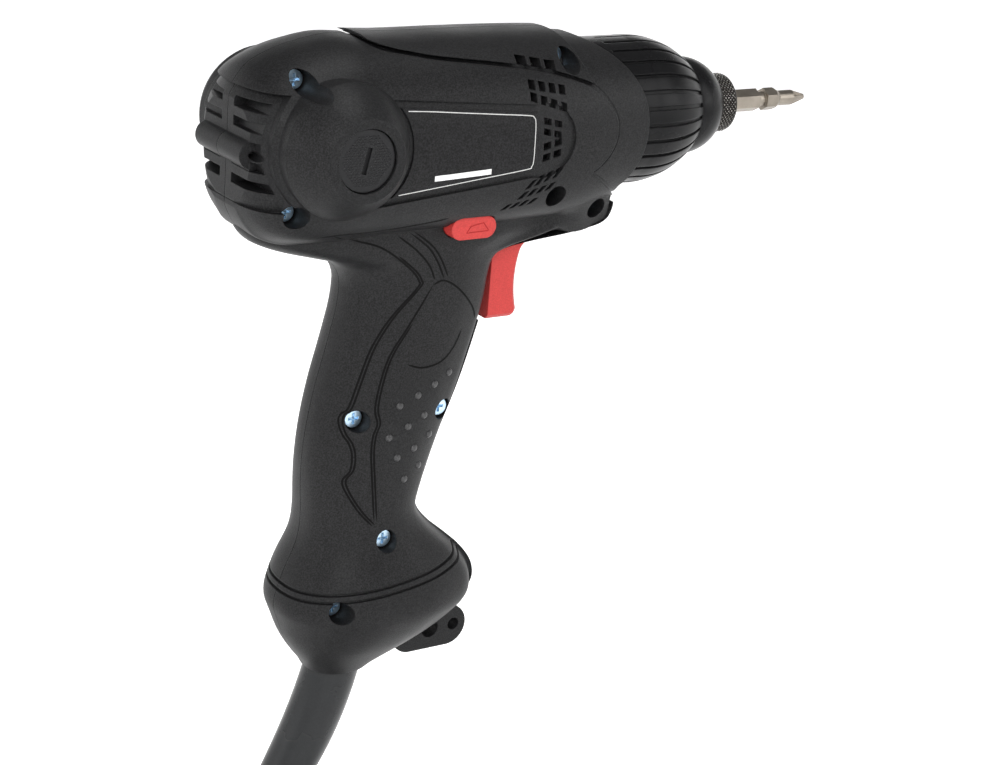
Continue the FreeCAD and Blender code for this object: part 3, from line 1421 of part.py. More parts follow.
def sleeve_form(inset):
    """The nose sleeve's outer shape, sunk by an inset."""
    length = ring_back - sleeve_back
    straight = sleeve_back + SLEEVE_STRAIGHT_SHARE * length
    bulge_x = straight + SLEEVE_BULGE_SHARE * (ring_back - straight)
    drop = SLEEVE_RADIUS - SLEEVE_FRONT_RADIUS
    bulge_r = SLEEVE_RADIUS - drop * SLEEVE_DROP_SHARE
    steps = (
        (sleeve_back, 0),
        (sleeve_back, SLEEVE_RADIUS - inset),
        (straight, SLEEVE_RADIUS - inset),
        ((bulge_x, bulge_r - inset), (ring_back, SLEEVE_FRONT_RADIUS - inset)),
        (ring_back, 0),
    )
    return spun(steps)


def nose_sleeve():
    """The fluted cover over the front of the hammer case."""
    steps = (
        (sleeve_back - OVERRUN, 0),
        (sleeve_back - OVERRUN, drum_outer + FIT),
        (drum_front + FIT, drum_outer + FIT),
        (neck_rear + FIT, CASE_NECK_RADIUS + FIT),
        (ring_back + OVERRUN, CASE_NECK_RADIUS + FIT),
        (ring_back + OVERRUN, 0),
    )
    rear, front = body_front - SLEEVE_TUCK / 2, ring_back + OVERRUN
    flute = radial_bar(rear, front, SLEEVE_FLUTE_WIDTH, CASE_NECK_RADIUS, SLEEVE_RADIUS + OVERRUN)
    flute = flute.cut(sleeve_form(SLEEVE_FLUTE_DEPTH))
    flutes = [turned(flute, a) for a in turns_of(SLEEVE_RIBS)]
    return sleeve_form(0).cut([spun(steps)] + flutes)


def nose_ring():
    """The smooth ring that closes the nose in front of the sleeve."""
    bore = CASE_NECK_RADIUS + FIT
    eye = ANVIL_RADIUS + SLIDE
    bulge_x = ring_back + RING_BULGE_SHARE * RING_LENGTH
    bulge_r = RING_BACK_RADIUS - (RING_BACK_RADIUS - RING_FRONT_RADIUS) * RING_DROP_SHARE
    steps = (
        (ring_back, bore),
        (ring_back, RING_BACK_RADIUS),
        ((bulge_x, bulge_r), (ring_front, RING_FRONT_RADIUS)),
        (ring_front, eye),
        (neck_front, eye),
        (neck_front, bore),
    )
    return spun(steps)


# Quick-change collar and bit
def bit_collar():
    """The release collar: a land that traps the balls and a pocket for its spring."""
    steps = (
        (collar_back, nose_radius + RUN),
        (collar_back, COLLAR_RADIUS - COLLAR_CHAMFER),
        (collar_back + COLLAR_CHAMFER, COLLAR_RADIUS),
        (COLLAR_FACE - COLLAR_CHAMFER, COLLAR_RADIUS),
        (COLLAR_FACE, COLLAR_RADIUS - COLLAR_CHAMFER),
        (COLLAR_FACE, COLLAR_POCKET),
        (collar_back + COLLAR_LAND, COLLAR_POCKET),
        (collar_back + COLLAR_LAND, nose_radius + RUN),
    )
    return spun(steps)


def collar_spring():
    """The spring that holds the collar back."""
    start = Vector(collar_back + COLLAR_LAND, 0, SPINDLE_HEIGHT)
    radius = (nose_radius + COLLAR_POCKET) / 2
    length = retainer_rear - collar_back - COLLAR_LAND
    return helix(start, Vector(1, 0, 0), radius, COLLAR_WIRE, COLLAR_TURNS, length)


def retaining_ring():
    """The ring on the anvil's end that the collar's spring pushes against."""
    return tube(retainer_rear, COLLAR_FACE - SLIDE, COLLAR_POCKET - SLIDE, nose_radius + FIT)


def bit_end():
    """The front half of the bit: hexagon, notch, round shank and cross point."""
    middle = bit_tip - BIT_LENGTH / 2
    notch = bit_tip - BIT_NECK_FROM_END
    shank = bit_tip - BIT_SHANK_LENGTH
    tip = bit_tip - BIT_TIP_LENGTH
    corner = HEX_FLATS / math.sqrt(3)
    steps = (
        (middle, 0),
        (middle, corner),
        (notch - BIT_NECK_LENGTH, corner),
        (notch - BIT_NECK_LENGTH, BIT_NECK_RADIUS),
        (notch, BIT_NECK_RADIUS),
        (notch, corner),
        (shank - BIT_TAPER, corner),
        (shank, BIT_SHANK_RADIUS),
        (tip, BIT_SHANK_RADIUS),
        (bit_tip, BIT_TIP_RADIUS),
        (bit_tip, 0),
    )
    end = spun(steps).common(hex_bar(middle, bit_tip + OVERRUN, HEX_FLATS, True))
    flute = radial_bar(tip, bit_tip + OVERRUN, BIT_FLUTE, 0, HEX_FLATS)
    flute.translate(Vector(0, BIT_FLUTE_DEPTH + BIT_FLUTE / 2, BIT_FLUTE_DEPTH))
    return end.cut([turned(flute, a) for a in turns_of(4)])


def screwdriver_bit():
    """The double-ended bit."""
    front = bit_end()
    rear = front.mirror(Vector(bit_tip - BIT_LENGTH / 2, 0, SPINDLE_HEIGHT), Vector(1, 0, 0))
    return front.fuse(rear)


# Trigger, switch and reversing button
def trigger():
    """The trigger with its hollow face, upper hook, spring pocket and stem."""
    face = TRIGGER_BACK + TRIGGER_REACH
    top = TRIGGER_LOW + TRIGGER_HEIGHT
    hook = top - TRIGGER_HOOK_DROP
    toe = TRIGGER_LOW + TRIGGER_LIP
    dome = math.sqrt(0.5)
    tip = top - TRIGGER_HOOK_TIP
    steps = (
        (TRIGGER_BACK, TRIGGER_LOW),
        (face - TRIGGER_LIP, TRIGGER_LOW),
        ((face - TRIGGER_LIP * (1 - dome), toe - TRIGGER_LIP * dome), (face, toe)),
        ((face - TRIGGER_HOLLOW, (toe + hook) / 2), (face, hook)),
        ((face + TRIGGER_HOOK * (1 - dome), hook + (tip - hook) * dome), (face + TRIGGER_HOOK, tip)),
        (face + TRIGGER_HOOK, top),
        (TRIGGER_BACK, top),
    )
    body = side_plate(steps, -TRIGGER_HALF_WIDTH, TRIGGER_HALF_WIDTH)
    rims = [e for e in body.Edges if abs(abs(e.CenterOfMass.y) - TRIGGER_HALF_WIDTH) < FIT]
    rims = [e for e in rims if e.BoundBox.XMin > face - TRIGGER_LIP - FIT and e.BoundBox.XMax < face + FIT]
    body = body.makeChamfer(TRIGGER_CHAMFER, rims)
    z = TRIGGER_LOW + STEM_RISE
    x_axis = Vector(1, 0, 0)
    stem_end = Vector(TRIGGER_BACK - STEM_LENGTH, 0, z)
    stem = Part.makeCylinder(STEM_RADIUS, STEM_LENGTH + TRIGGER_POCKET, stem_end, x_axis)
    wide = TRIGGER_SPRING_RADIUS + TRIGGER_WIRE + SLIDE
    pocket = Part.makeCylinder(wide, TRIGGER_POCKET + OVERRUN, Vector(TRIGGER_BACK - OVERRUN, 0, z), x_axis)
    return body.cut(pocket).fuse(stem)


def trigger_spring():
    """The spring round the trigger's stem."""
    start = Vector(switch_front, 0, TRIGGER_LOW + STEM_RISE)
    length = TRIGGER_BACK + TRIGGER_POCKET - switch_front
    return helix(start, Vector(1, 0, 0), TRIGGER_SPRING_RADIUS, TRIGGER_WIRE, TRIGGER_TURNS, length)


def switch_body():
    """The switch block, bored for the trigger's stem and slotted for the reversing bar's tongue."""
    wide = SWITCH_HALF_WIDTH
    body = block(SWITCH_REAR, switch_front, -wide, wide, SWITCH_LOW, switch_top)
    z = TRIGGER_LOW + STEM_RISE
    depth = STEM_LENGTH + TRIGGER_TRAVEL + SLIDE - (TRIGGER_BACK - switch_front)
    end = Vector(switch_front - depth, 0, z)
    bore = Part.makeCylinder(STEM_RADIUS + RUN, depth + OVERRUN, end, Vector(1, 0, 0))
    half = REVERSE_BAR_WIDTH / 4 + SLIDE
    travel = REVERSE_PROUD + SLIDE
    low = switch_top - SWITCH_SLOT_DEPTH
    slot = block(REVERSE_X - half, REVERSE_X + half, -half, half + travel, low, switch_top + OVERRUN)
    return body.cut([bore, slot])


def reverse_button():
    """The reversing bar across the grip with an oval button at each end, pushed to the right."""
    right = -PALM_HALF_WIDTH - REVERSE_PROUD
    left = PALM_HALF_WIDTH + SLIDE
    caps = [
        side_plate(button_form(0), right, right + REVERSE_CAP_DEPTH),
        side_plate(button_form(0), left - REVERSE_CAP_DEPTH + REVERSE_PROUD, left),
    ]
    half = REVERSE_BAR_WIDTH / 2
    low = reverse_z - REVERSE_HEIGHT / 2
    bar = block(REVERSE_X - half, REVERSE_X + half, right + FIT, left - FIT, low, low + REVERSE_BAR_HEIGHT)
    tongue_low = switch_top - SWITCH_SLOT_DEPTH + SLIDE
    tongue = block(REVERSE_X - half / 2, REVERSE_X + half / 2, -half / 2, half / 2, tongue_low, low + FIT)
    return bar.fuse(caps + [tongue])


def capacitor():
    """The suppressor block on its shelf under the switch."""
    wide = CAPACITOR_HALF_WIDTH
    front, top = SWITCH_REAR + CAPACITOR_LENGTH, capacitor_low + CAPACITOR_HEIGHT
    return block(SWITCH_REAR, front, -wide, wide, capacitor_low, top)


# Cord entry
def arc_run(points):
    """Straight runs joined by tangent arcs as large as the runs allow, as a wire, with its length."""
    edges = []
    start = points[0]
    for before, corner, after in zip(points, points[1:], points[2:]):
        back = (before - corner).normalize()
        on = (after - corner).normalize()
        turn = math.pi - back.getAngle(on)
        cut = ROUTE_TURN_SHARE * min(before.distanceToPoint(corner), corner.distanceToPoint(after))
        radius = cut / math.tan(turn / 2)
        first, last = corner + back * cut, corner + on * cut
        sag = radius / math.cos(turn / 2) - radius
        middle = corner + (back + on).normalize() * sag
        edges.append(Part.LineSegment(start, first).toShape())
        edges.append(Part.Arc(first, middle, last).toShape())
        print("cord bend radius", round(radius, 1))
        start = last
    edges.append(Part.LineSegment(start, points[-1]).toShape())
    return Part.Wire(edges)


def tail_path():
    """The cord's axis from inside the base through the bent guard."""
    mouth, lean = guard_point(0)
    top = mouth + Vector(math.sin(lean), 0, math.cos(lean)) * TAIL_LENGTH
    bend = Part.Arc(mouth, guard_point(0.5)[0], guard_point(1)[0]).toShape()
    return Part.Wire([Part.LineSegment(top, mouth).toShape(), bend])


def cord_guard():
    """The tapered bend guard, moulded with a flange that sits inside the base."""
    rings = []
    for k in range(GUARD_RINGS):
        share = k / (GUARD_RINGS - 1)
        place, lean = guard_point(share)
        along = Vector(-math.sin(lean), 0, -math.cos(lean))
        radius = GUARD_RADIUS + (GUARD_END_RADIUS - GUARD_RADIUS) * share**GUARD_TAPER_POWER
        rings.append(Part.Wire(Part.makeCircle(radius, place, along)))
    guard = Part.makeLoft(rings, True, False)
    root = guard_bar(-SLIDE, GUARD_ROOT, GUARD_RADIUS - SLIDE)
    flange = guard_bar(GUARD_ROOT - GUARD_FLANGE_THICK, GUARD_ROOT, GUARD_FLANGE)
    return guard.fuse([root, flange]).cut(tube_along(long_tail_path(), CORD_RADIUS + FIT))


def long_tail_path():
    """The tail's axis run on past the guard's end, to bore the guard."""
    end, lean = guard_point(1)
    ahead = end + Vector(-math.sin(lean), 0, -math.cos(lean)) * OVERRUN
    return Part.Wire(tail_path().Edges + [Part.LineSegment(end, ahead).toShape()])


def cord_clamp():
    """The bar that holds the cord down on its saddle."""
    x = tail_at(CLAMP_Z)
    low, high = CLAMP_Z - CLAMP_BAR / 2, CLAMP_Z + CLAMP_BAR / 2
    inner, outer = FIT - CORD_RADIUS, CORD_RADIUS + CLAMP_THICK
    bar = block(x - CLAMP_HALF_SPAN, x + CLAMP_HALF_SPAN, inner, outer, low, high)
    way = CORD_RADIUS + FIT
    gap = block(x - way, x + way, -reach_y, 0, low - OVERRUN, high + OVERRUN)
    gap.rotate(Vector(x, 0, CLAMP_Z), Vector(0, 1, 0), GUARD_LEAN)
    cuts = [guard_bar(0, TAIL_LENGTH + OVERRUN, way), gap]
    for side in (-CLAMP_SCREW_SPREAD, CLAMP_SCREW_SPREAD):
        cuts.append(cross_rod(x + side, CLAMP_Z, -reach_y, reach_y, CLAMP_SCREW + FIT))
    return bar.cut(cuts)


def clamp_screws():
    """Two screws through the clamp into the saddle."""
    x = tail_at(CLAMP_Z)
    seat, tip = CORD_RADIUS + CLAMP_THICK, -CORD_RADIUS - SCREW_REACH
    screws = [
        cross_screw(x + side, CLAMP_Z, seat, tip, CLAMP_SCREW_HEAD, CLAMP_SCREW, CLAMP_SCREW, 1)
        for side in (-CLAMP_SCREW_SPREAD, CLAMP_SCREW_SPREAD)
    ]
    return Part.makeCompound(screws)


def switch_leads():
    """The cord's two cores, from its end up to the switch."""
    leads = []
    for side in (-LEAD_SPREAD, LEAD_SPREAD):
        leads.append(tube_along(arc_run([Vector(x, side, z) for x, z in LEAD_ROUTE]), LEAD_RADIUS))
    return Part.makeCompound(leads)


def hanging_tab():
    """The tab under the base, with a hole for a hook and an eye for a strap."""
    plate = side_plate(tab_form(0), -TAB_HALF_THICK, TAB_HALF_THICK)
    holes = [
        cross_rod(TAB_HOLE_X, TAB_Z, -reach_y, reach_y, TAB_HOLE),
        cross_rod(TAB_EYE_X, TAB_Z, -reach_y, reach_y, TAB_EYE),
    ]
    return plate.cut(holes)


# Mains cord, put-away coil, tie and plug
def power_cord():
    """The free stretch from the guard down to the coil."""
    points = [guard_point(1)[0]] + [Vector(*point) for point in CORD_ROUTE]
    return tube_along(arc_run(points), CORD_RADIUS)


def coil_radius(turn):
    """The coil's radius after some turns: in at a steady rate, then out again."""
    inner = COIL_MIDDLE - coil_pitch * COIL_TURNS / 4
    return inner + coil_pitch * abs(turn - COIL_TURNS / 2)


def coil_point(turn):
    """A point of the coil's line and the way that it runs there, clockwise from above."""
    angle = math.pi / 2 - 2 * math.pi * turn
    climb = min(max((turn - COIL_TURNS / 2) * 2 + 0.5, 0), 1) * math.pi
    radius = coil_radius(turn)
    swing = coil_pitch / (2 * math.pi)
    half = COIL_TURNS / 2
    drift = 0 if turn in (0, half, COIL_TURNS) else math.copysign(swing, turn - half)
    lift = coil_pitch / 2 * math.sin(climb)
    out = Vector(math.cos(angle), math.sin(angle), 0)
    round_way = Vector(math.sin(angle), -math.cos(angle), 0)
    place = coil_middle + out * radius + Vector(0, 0, coil_pitch * (1 - math.cos(climb)) / 2)
    way = round_way * radius + out * drift + Vector(0, 0, lift)
    return place, way.normalize()


def coil_stops():
    """Where the coil's quarter turns begin and end, in turns."""
    return [k / 4 for k in range(round(COIL_TURNS * 4) + 1)]


def cord_coil():
    """The put-away length, wound in two layers as one unbroken tube."""
    stops = [coil_point(turn) for turn in coil_stops()]
    straight = CORD_RADIUS * 2
    first, first_way = stops[0]
    last, last_way = stops[-1]
    edges = [Part.LineSegment(first - first_way * straight, first).toShape()] + arcs_through(stops)
    edges.append(Part.LineSegment(last, last + last_way * straight).toShape())
    path = Part.Wire(edges)
    points = [coil_point(k / COIL_SAMPLES)[0] for k in range(round(COIL_TURNS * COIL_SAMPLES))]
    near = COIL_SAMPLES // 2
    least = min(p.distanceToPoint(q) for k, p in enumerate(points) for q in points[k + near :])
    print("coil length", round(path.Length), "least gap to itself", round(least - CORD_RADIUS * 2, 2))
    return tube_along(path, CORD_RADIUS)


def cord_tie():
    """The strap round the coil's bundle."""
    inner = min(coil_radius(turn) for turn in coil_stops()) - CORD_RADIUS - SLIDE
    outer = max(coil_radius(turn) for turn in coil_stops()) + CORD_RADIUS + SLIDE
    low = -CORD_RADIUS - SLIDE
    high = coil_pitch + CORD_RADIUS + SLIDE
    half = TIE_WIDTH / 2
    tie = block(inner - TIE_THICK, outer + TIE_THICK, -half, half, low - TIE_THICK, high + TIE_THICK)
    tie = tie.makeFillet(TIE_THICK * 2, [e for e in tie.Edges if e.BoundBox.YLength > half])
    hole = block(inner, outer, -TIE_WIDTH, TIE_WIDTH, low, high)
    hole = hole.makeFillet(TIE_THICK, [e for e in hole.Edges if e.BoundBox.YLength > half])
    tie = tie.cut(hole)
    tie.rotate(Vector(0, 0, 0), Vector(0, 0, 1), TIE_ANGLE)
    tie.translate(coil_middle)
    return tie


def plug_start():
    """Where the coil's end meets the plug."""
    last, way = coil_point(COIL_TURNS)
    return last + way * (CORD_RADIUS * 2)


def power_plug():
    """The moulded two-pin plug with its tapered neck."""
    start = plug_start()
    neck_end = start.x - PLUG_NECK
    neck = Part.makeCone(CORD_RADIUS + SLIDE, PLUG_NECK_RADIUS, PLUG_NECK + FIT, start, Vector(-1, 0, 0))
    wires = []
    for along, width, thick in PLUG_SHARES:
        ring = []
        for a in turns_of(SECTION_STEPS * 2):
            y = start.y + width * PLUG_HALF_WIDTH * bent(math.cos(a), PLUG_POWER)
            z = start.z + thick * PLUG_HALF_THICK * bent(math.sin(a), PLUG_POWER)
            ring.append(Vector(neck_end - along * PLUG_LENGTH, y, z))
        curve = Part.BSplineCurve()
        curve.interpolate(Points=ring, PeriodicFlag=True)
        wires.append(Part.Wire(curve.toShape()))
    body = Part.makeLoft(wires, True, False)
    return neck.fuse(body).cut([pin_form(side, FIT) for side in (-1, 1)])


def pin_form(side, grow):
    """One round pin, its root inside the plug."""
    start = plug_start()
    face = start.x - PLUG_NECK - PLUG_LENGTH
    base = Vector(face + PIN_ROOT, start.y + side * PIN_SPREAD, start.z)
    straight = PIN_ROOT + PIN_LENGTH - PIN_RADIUS
    pin = Part.makeCylinder(PIN_RADIUS + grow, straight, base, Vector(-1, 0, 0))
    return pin.fuse(Part.makeSphere(PIN_RADIUS + grow, base - Vector(straight, 0, 0)))


def plug_pins():
    return Part.makeCompound([pin_form(side, 0) for side in (-1, 1)])


right_half, left_half = housing()
PIECES = {
    "right_housing": right_half,
    "left_housing": left_half,
    "housing_screws": housing_screws(),
    "rating_label": rating_label(),
    "stator_core": stator_core(),
    "field_coils": field_coils(),
    "armature_shaft": armature_shaft(),
    "armature_core": armature_core(),
    "armature_winding": armature_winding(),
    "commutator": commutator(),
    "cooling_fan": cooling_fan(),
    "rear_bearing": ball_bearing(rear_bearing_rear),
    "front_bearing": ball_bearing(front_bearing_rear),
    "sun_pinion": sun_pinion(),
    "planet_gear_top": planet_gear(1),
    "planet_gear_bottom": planet_gear(-1),
    "planet_pins": planet_pins(),
    "ring_gear": ring_gear(),
    "gearcase_plate": gearcase_plate(),
    "camshaft": camshaft(),
    "cam_balls": cam_balls(),
    "hammer": hammer(),
    "hammer_spring": hammer_spring(),
    "anvil": anvil(),
    "anvil_bush": anvil_bush(),
    "hammer_case": hammer_case(),
    "nose_sleeve": nose_sleeve(),
    "nose_ring": nose_ring(),
    "bit_collar": bit_collar(),
    "collar_spring": collar_spring(),
    "retaining_ring": retaining_ring(),
    "detent_balls": detent_balls(),
    "screwdriver_bit": screwdriver_bit(),
    "trigger": trigger(),
    "trigger_spring": trigger_spring(),
    "switch_body": switch_body(),
    "reverse_button": reverse_button(),
    "capacitor": capacitor(),
    "switch_leads": switch_leads(),
    "hanging_tab": hanging_tab(),
    "cord_clamp": cord_clamp(),
    "clamp_screws": clamp_screws(),
    "cord_guard": cord_guard(),
    "cord_tail": tube_along(tail_path(), CORD_RADIUS),
    "power_cord": power_cord(),
    "cord_coil": cord_coil(),
    "cord_tie": cord_tie(),
    "power_plug": power_plug(),
    "plug_pins": plug_pins(),
}
for name, make in (
    ("brush_cap", brush_cap),
    ("brush_holder", brush_holder),
    ("carbon_brush", carbon_brush),
    ("brush_spring", brush_spring),
):
    PIECES[f"{name}_right"] = make()
    PIECES[f"{name}_left"] = mirrored(make())

os.makedirs("parts", exist_ok=True)
for name, shape in PIECES.items():
    shape.exportStep(f"parts/{name}.step")
    state = "valid" if shape.isValid() else "INVALID"
    print(name, len(shape.Solids), "solids", round(shape.Volume, 1), "mm3", state)
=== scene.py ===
import bmesh
import bpy
import math
from mathutils import Matrix, Vector
from mathutils.bvhtree import BVHTree


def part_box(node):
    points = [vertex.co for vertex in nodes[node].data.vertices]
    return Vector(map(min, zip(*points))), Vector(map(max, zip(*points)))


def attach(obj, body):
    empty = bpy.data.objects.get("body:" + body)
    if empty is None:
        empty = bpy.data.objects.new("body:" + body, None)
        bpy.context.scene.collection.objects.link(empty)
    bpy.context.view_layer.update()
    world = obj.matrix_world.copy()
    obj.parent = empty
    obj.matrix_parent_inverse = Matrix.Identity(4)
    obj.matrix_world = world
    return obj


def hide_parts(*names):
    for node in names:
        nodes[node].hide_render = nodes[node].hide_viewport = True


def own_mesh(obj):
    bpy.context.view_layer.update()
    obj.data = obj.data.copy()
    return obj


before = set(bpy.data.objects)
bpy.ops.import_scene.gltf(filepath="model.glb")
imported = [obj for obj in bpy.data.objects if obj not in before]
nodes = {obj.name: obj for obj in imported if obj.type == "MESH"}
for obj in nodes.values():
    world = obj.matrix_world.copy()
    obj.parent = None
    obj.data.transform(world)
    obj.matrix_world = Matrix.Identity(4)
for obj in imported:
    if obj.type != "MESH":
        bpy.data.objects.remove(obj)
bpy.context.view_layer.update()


# Studio: a round floor of pale paper under the coiled cord that turns up into a wall, a camera over
# the tool's right rear shoulder, and large soft boxes, so that black mouldings show by their sheen.
scene = bpy.context.scene
scene.view_settings.view_transform = "Standard"
camera = bpy.data.objects.new("camera", bpy.data.cameras.new("camera"))
scene.collection.objects.link(camera)
scene.camera = camera
camera.data.lens = 82.8
camera.data.sensor_width = 36.0
camera.data.clip_start = 0.01
camera_right = Vector((0.83389, -0.54657, 0.07681))
camera_up = Vector((0.11946, 0.31460, 0.94168))
camera_back = Vector((-0.53885, -0.77607, 0.32764))
turn = Matrix((camera_right, camera_up, camera_back)).transposed()
camera.matrix_world = Matrix.Translation((-0.34437, -0.55631, 0.22490)) @ turn.to_4x4()

floor_reach, floor_z, wall_rise, wall_sides = 12.0, -0.2278, 4.4, 64
rim, wall_panes = [], []
for k in range(wall_sides):
    turned = math.tau * k / wall_sides
    rim.append((floor_reach * math.cos(turned), floor_reach * math.sin(turned)))
    after = (k + 1) % wall_sides
    wall_panes.append((k, k + wall_sides, after + wall_sides, after))
floor_mesh = bpy.data.meshes.new("floor")
floor_mesh.from_pydata(
    [(x, y, floor_z) for x, y in rim] + [(x, y, wall_rise) for x, y in rim],
    [],
    [tuple(range(wall_sides)), *wall_panes],
)
floor = bpy.data.objects.new("floor", floor_mesh)
scene.collection.objects.link(floor)
paper = bpy.data.materials.new("studio_paper")
paper.use_nodes = True
paper_shader = paper.node_tree.nodes["Principled BSDF"]
paper_shader.inputs["Base Color"].default_value = (0.92, 0.92, 0.92, 1)
paper_shader.inputs["Roughness"].default_value = 0.9
paper_shader.inputs["Specular IOR Level"].default_value = 0.0
paper_shader.inputs["Emission Color"].default_value = (1, 1, 1, 1)
paper_shader.inputs["Emission Strength"].default_value = 0.7
floor_mesh.materials.append(paper)

sky = bpy.data.worlds.new("studio_air")
sky.use_nodes = True
sky.node_tree.nodes["Background"].inputs["Color"].default_value = (1, 1, 1, 1)
sky.node_tree.nodes["Background"].inputs["Strength"].default_value = 0.16
scene.world = sky


def soft_box(name, place, aim, width, height, power):
    """A rectangular soft light at a place, aimed at a point."""
    lamp = bpy.data.lights.new(name, "AREA")
    lamp.shape = "RECTANGLE"
    lamp.size, lamp.size_y, lamp.energy = width, height, power
    box = bpy.data.objects.new(name, lamp)
    scene.collection.objects.link(box)
    box.location = place
    box.rotation_euler = (Vector(aim) - Vector(place)).to_track_quat("-Z", "Y").to_euler()


soft_box("left_box", (-1.1, 0.1, 0.55), (0, 0, 0), 0.7, 1.1, 2.5)
soft_box("top_box", (0.1, -0.1, 1.3), (0, 0, 0.05), 0.9, 0.35, 8)
soft_box("front_box", (1.0, -0.9, 0.7), (0.05, 0, 0.03), 0.6, 0.9, 5)
soft_box("key_box", (-0.75, -1.1, 0.85), (0.02, 0, 0.02), 0.8, 0.8, 12)


# Mains cord: a round black two-core lead that leaves the bend guard, drops to the bench and turns
# under the tool; the rest of it is wound into a flat two-layer coil held by a strap.
cord_radius = 0.0035
guard_end = (-0.039106, 0.0, -0.145736)
cord_route = [
    guard_end,
    (-0.0545, 0.0, -0.1641),
    (-0.0577, 0.0, -0.1879),
    (-0.0475, 0.0, -0.2097),
    (-0.0273, 0.0, -0.2226),
    (-0.0033, 0.0, -0.2226),
]
coil_turns, coil_pitch, coil_middle = 6.5, 0.0076, 0.041
coil_centre = Vector((0.0037, -(coil_middle + coil_pitch * coil_turns / 4), -0.2226))
steps_per_turn = 24
for step in range(round(coil_turns * steps_per_turn) + 1):
    turns = step / steps_per_turn
    angle = math.pi / 2 - math.tau * turns
    climb = min(max((turns - coil_turns / 2) * 2 + 0.5, 0), 1) * math.pi
    radius = coil_middle - coil_pitch * coil_turns / 4 + coil_pitch * abs(turns - coil_turns / 2)
    lift = coil_pitch * (1 - math.cos(climb)) / 2
    out = Vector((radius * math.cos(angle), radius * math.sin(angle), lift))
    cord_route.append(tuple(coil_centre + out))
last = cord_route[-1]
cord_route.append((last[0] - cord_radius * 2, last[1], last[2]))
cord_curve = bpy.data.curves.new("mains_cord", "CURVE")
cord_curve.dimensions = "3D"
line = cord_curve.splines.new("NURBS")
line.points.add(len(cord_route) - 1)
for point, place in zip(line.points, cord_route):
    point.co = (*place, 1)
    point.radius = cord_radius
line.order_u = 3
line.use_endpoint_u = True
line.resolution_u = 6
# The points carry the cord's radius, so the round profile that they scale is 1 deep.
cord_curve.bevel_depth = 1.0
cord_curve.bevel_resolution = 5
cord_curve.use_fill_caps = True
mains_cord = bpy.data.objects.new("mains_cord", cord_curve)
scene.collection.objects.link(mains_cord)
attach(mains_cord, "housing")
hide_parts("power_cord", "cord_coil")


def moulded(name, colour, rough, grain_size, grain_depth, speck=0.0, soften=0.0004, gloss=0.5):
    """A moulded plastic or rubber: a grained skin whose sheen and shade drift a little."""
    made = bpy.data.materials.new(name)
    made.use_nodes = True
    tree = made.node_tree
    shader = tree.nodes["Principled BSDF"]
    shader.inputs["Specular IOR Level"].default_value = gloss
    where = tree.nodes.new("ShaderNodeTexCoord")
    grain = tree.nodes.new("ShaderNodeTexNoise")
    grain.inputs["Scale"].default_value = 1 / grain_size
    grain.inputs["Detail"].default_value = 3
    grain.inputs["Roughness"].default_value = 0.65
    tree.links.new(where.outputs["Object"], grain.inputs["Vector"])
    drift = tree.nodes.new("ShaderNodeTexNoise")
    drift.inputs["Scale"].default_value = 42
    drift.inputs["Detail"].default_value = 4
    tree.links.new(where.outputs["Object"], drift.inputs["Vector"])
    sheen = tree.nodes.new("ShaderNodeMapRange")
    sheen.inputs["From Min"].default_value = 0.3
    sheen.inputs["From Max"].default_value = 0.7
    sheen.inputs["To Min"].default_value = rough - 0.05
    sheen.inputs["To Max"].default_value = rough + 0.06
    tree.links.new(drift.outputs["Fac"], sheen.inputs["Value"])
    tree.links.new(sheen.outputs["Result"], shader.inputs["Roughness"])
    shade = tree.nodes.new("ShaderNodeValToRGB")
    shade.color_ramp.elements[0].position = 0.38
    shade.color_ramp.elements[0].color = (*[c * (0.86 - speck) for c in colour], 1)
    shade.color_ramp.elements[1].position = 0.66
    shade.color_ramp.elements[1].color = (*[c * (1.12 + speck * 2) for c in colour], 1)
    tree.links.new(grain.outputs["Fac"], shade.inputs["Fac"])
    tree.links.new(shade.outputs["Color"], shader.inputs["Base Color"])
    edge = tree.nodes.new("ShaderNodeBevel")
    edge.samples = 4
    edge.inputs["Radius"].default_value = soften
    bump = tree.nodes.new("ShaderNodeBump")
    bump.inputs["Strength"].default_value = 0.5
    bump.inputs["Distance"].default_value = grain_depth
    tree.links.new(grain.outputs["Fac"], bump.inputs["Height"])
    tree.links.new(edge.outputs["Normal"], bump.inputs["Normal"])
    tree.links.new(bump.outputs["Normal"], shader.inputs["Normal"])
    return made


def dress(node, finish):
    """Gives a solid from the frame its finish."""
    nodes[node].data.materials.clear()
    nodes[node].data.materials.append(finish)


cord_rubber = moulded(
    "cord_rubber", (0.013, 0.014, 0.015),
    rough=0.28, grain_size=0.0006, grain_depth=0.00003, gloss=0.28,
)
cord_curve.materials.append(cord_rubber)
for piece in ("cord_tail", "power_plug", "cord_guard"):
    dress(piece, cord_rubber)
strap_plastic = moulded(
    "strap_plastic", (0.03, 0.03, 0.032),
    rough=0.5, grain_size=0.0004, grain_depth=0.00004,
)
dress("cord_tie", strap_plastic)


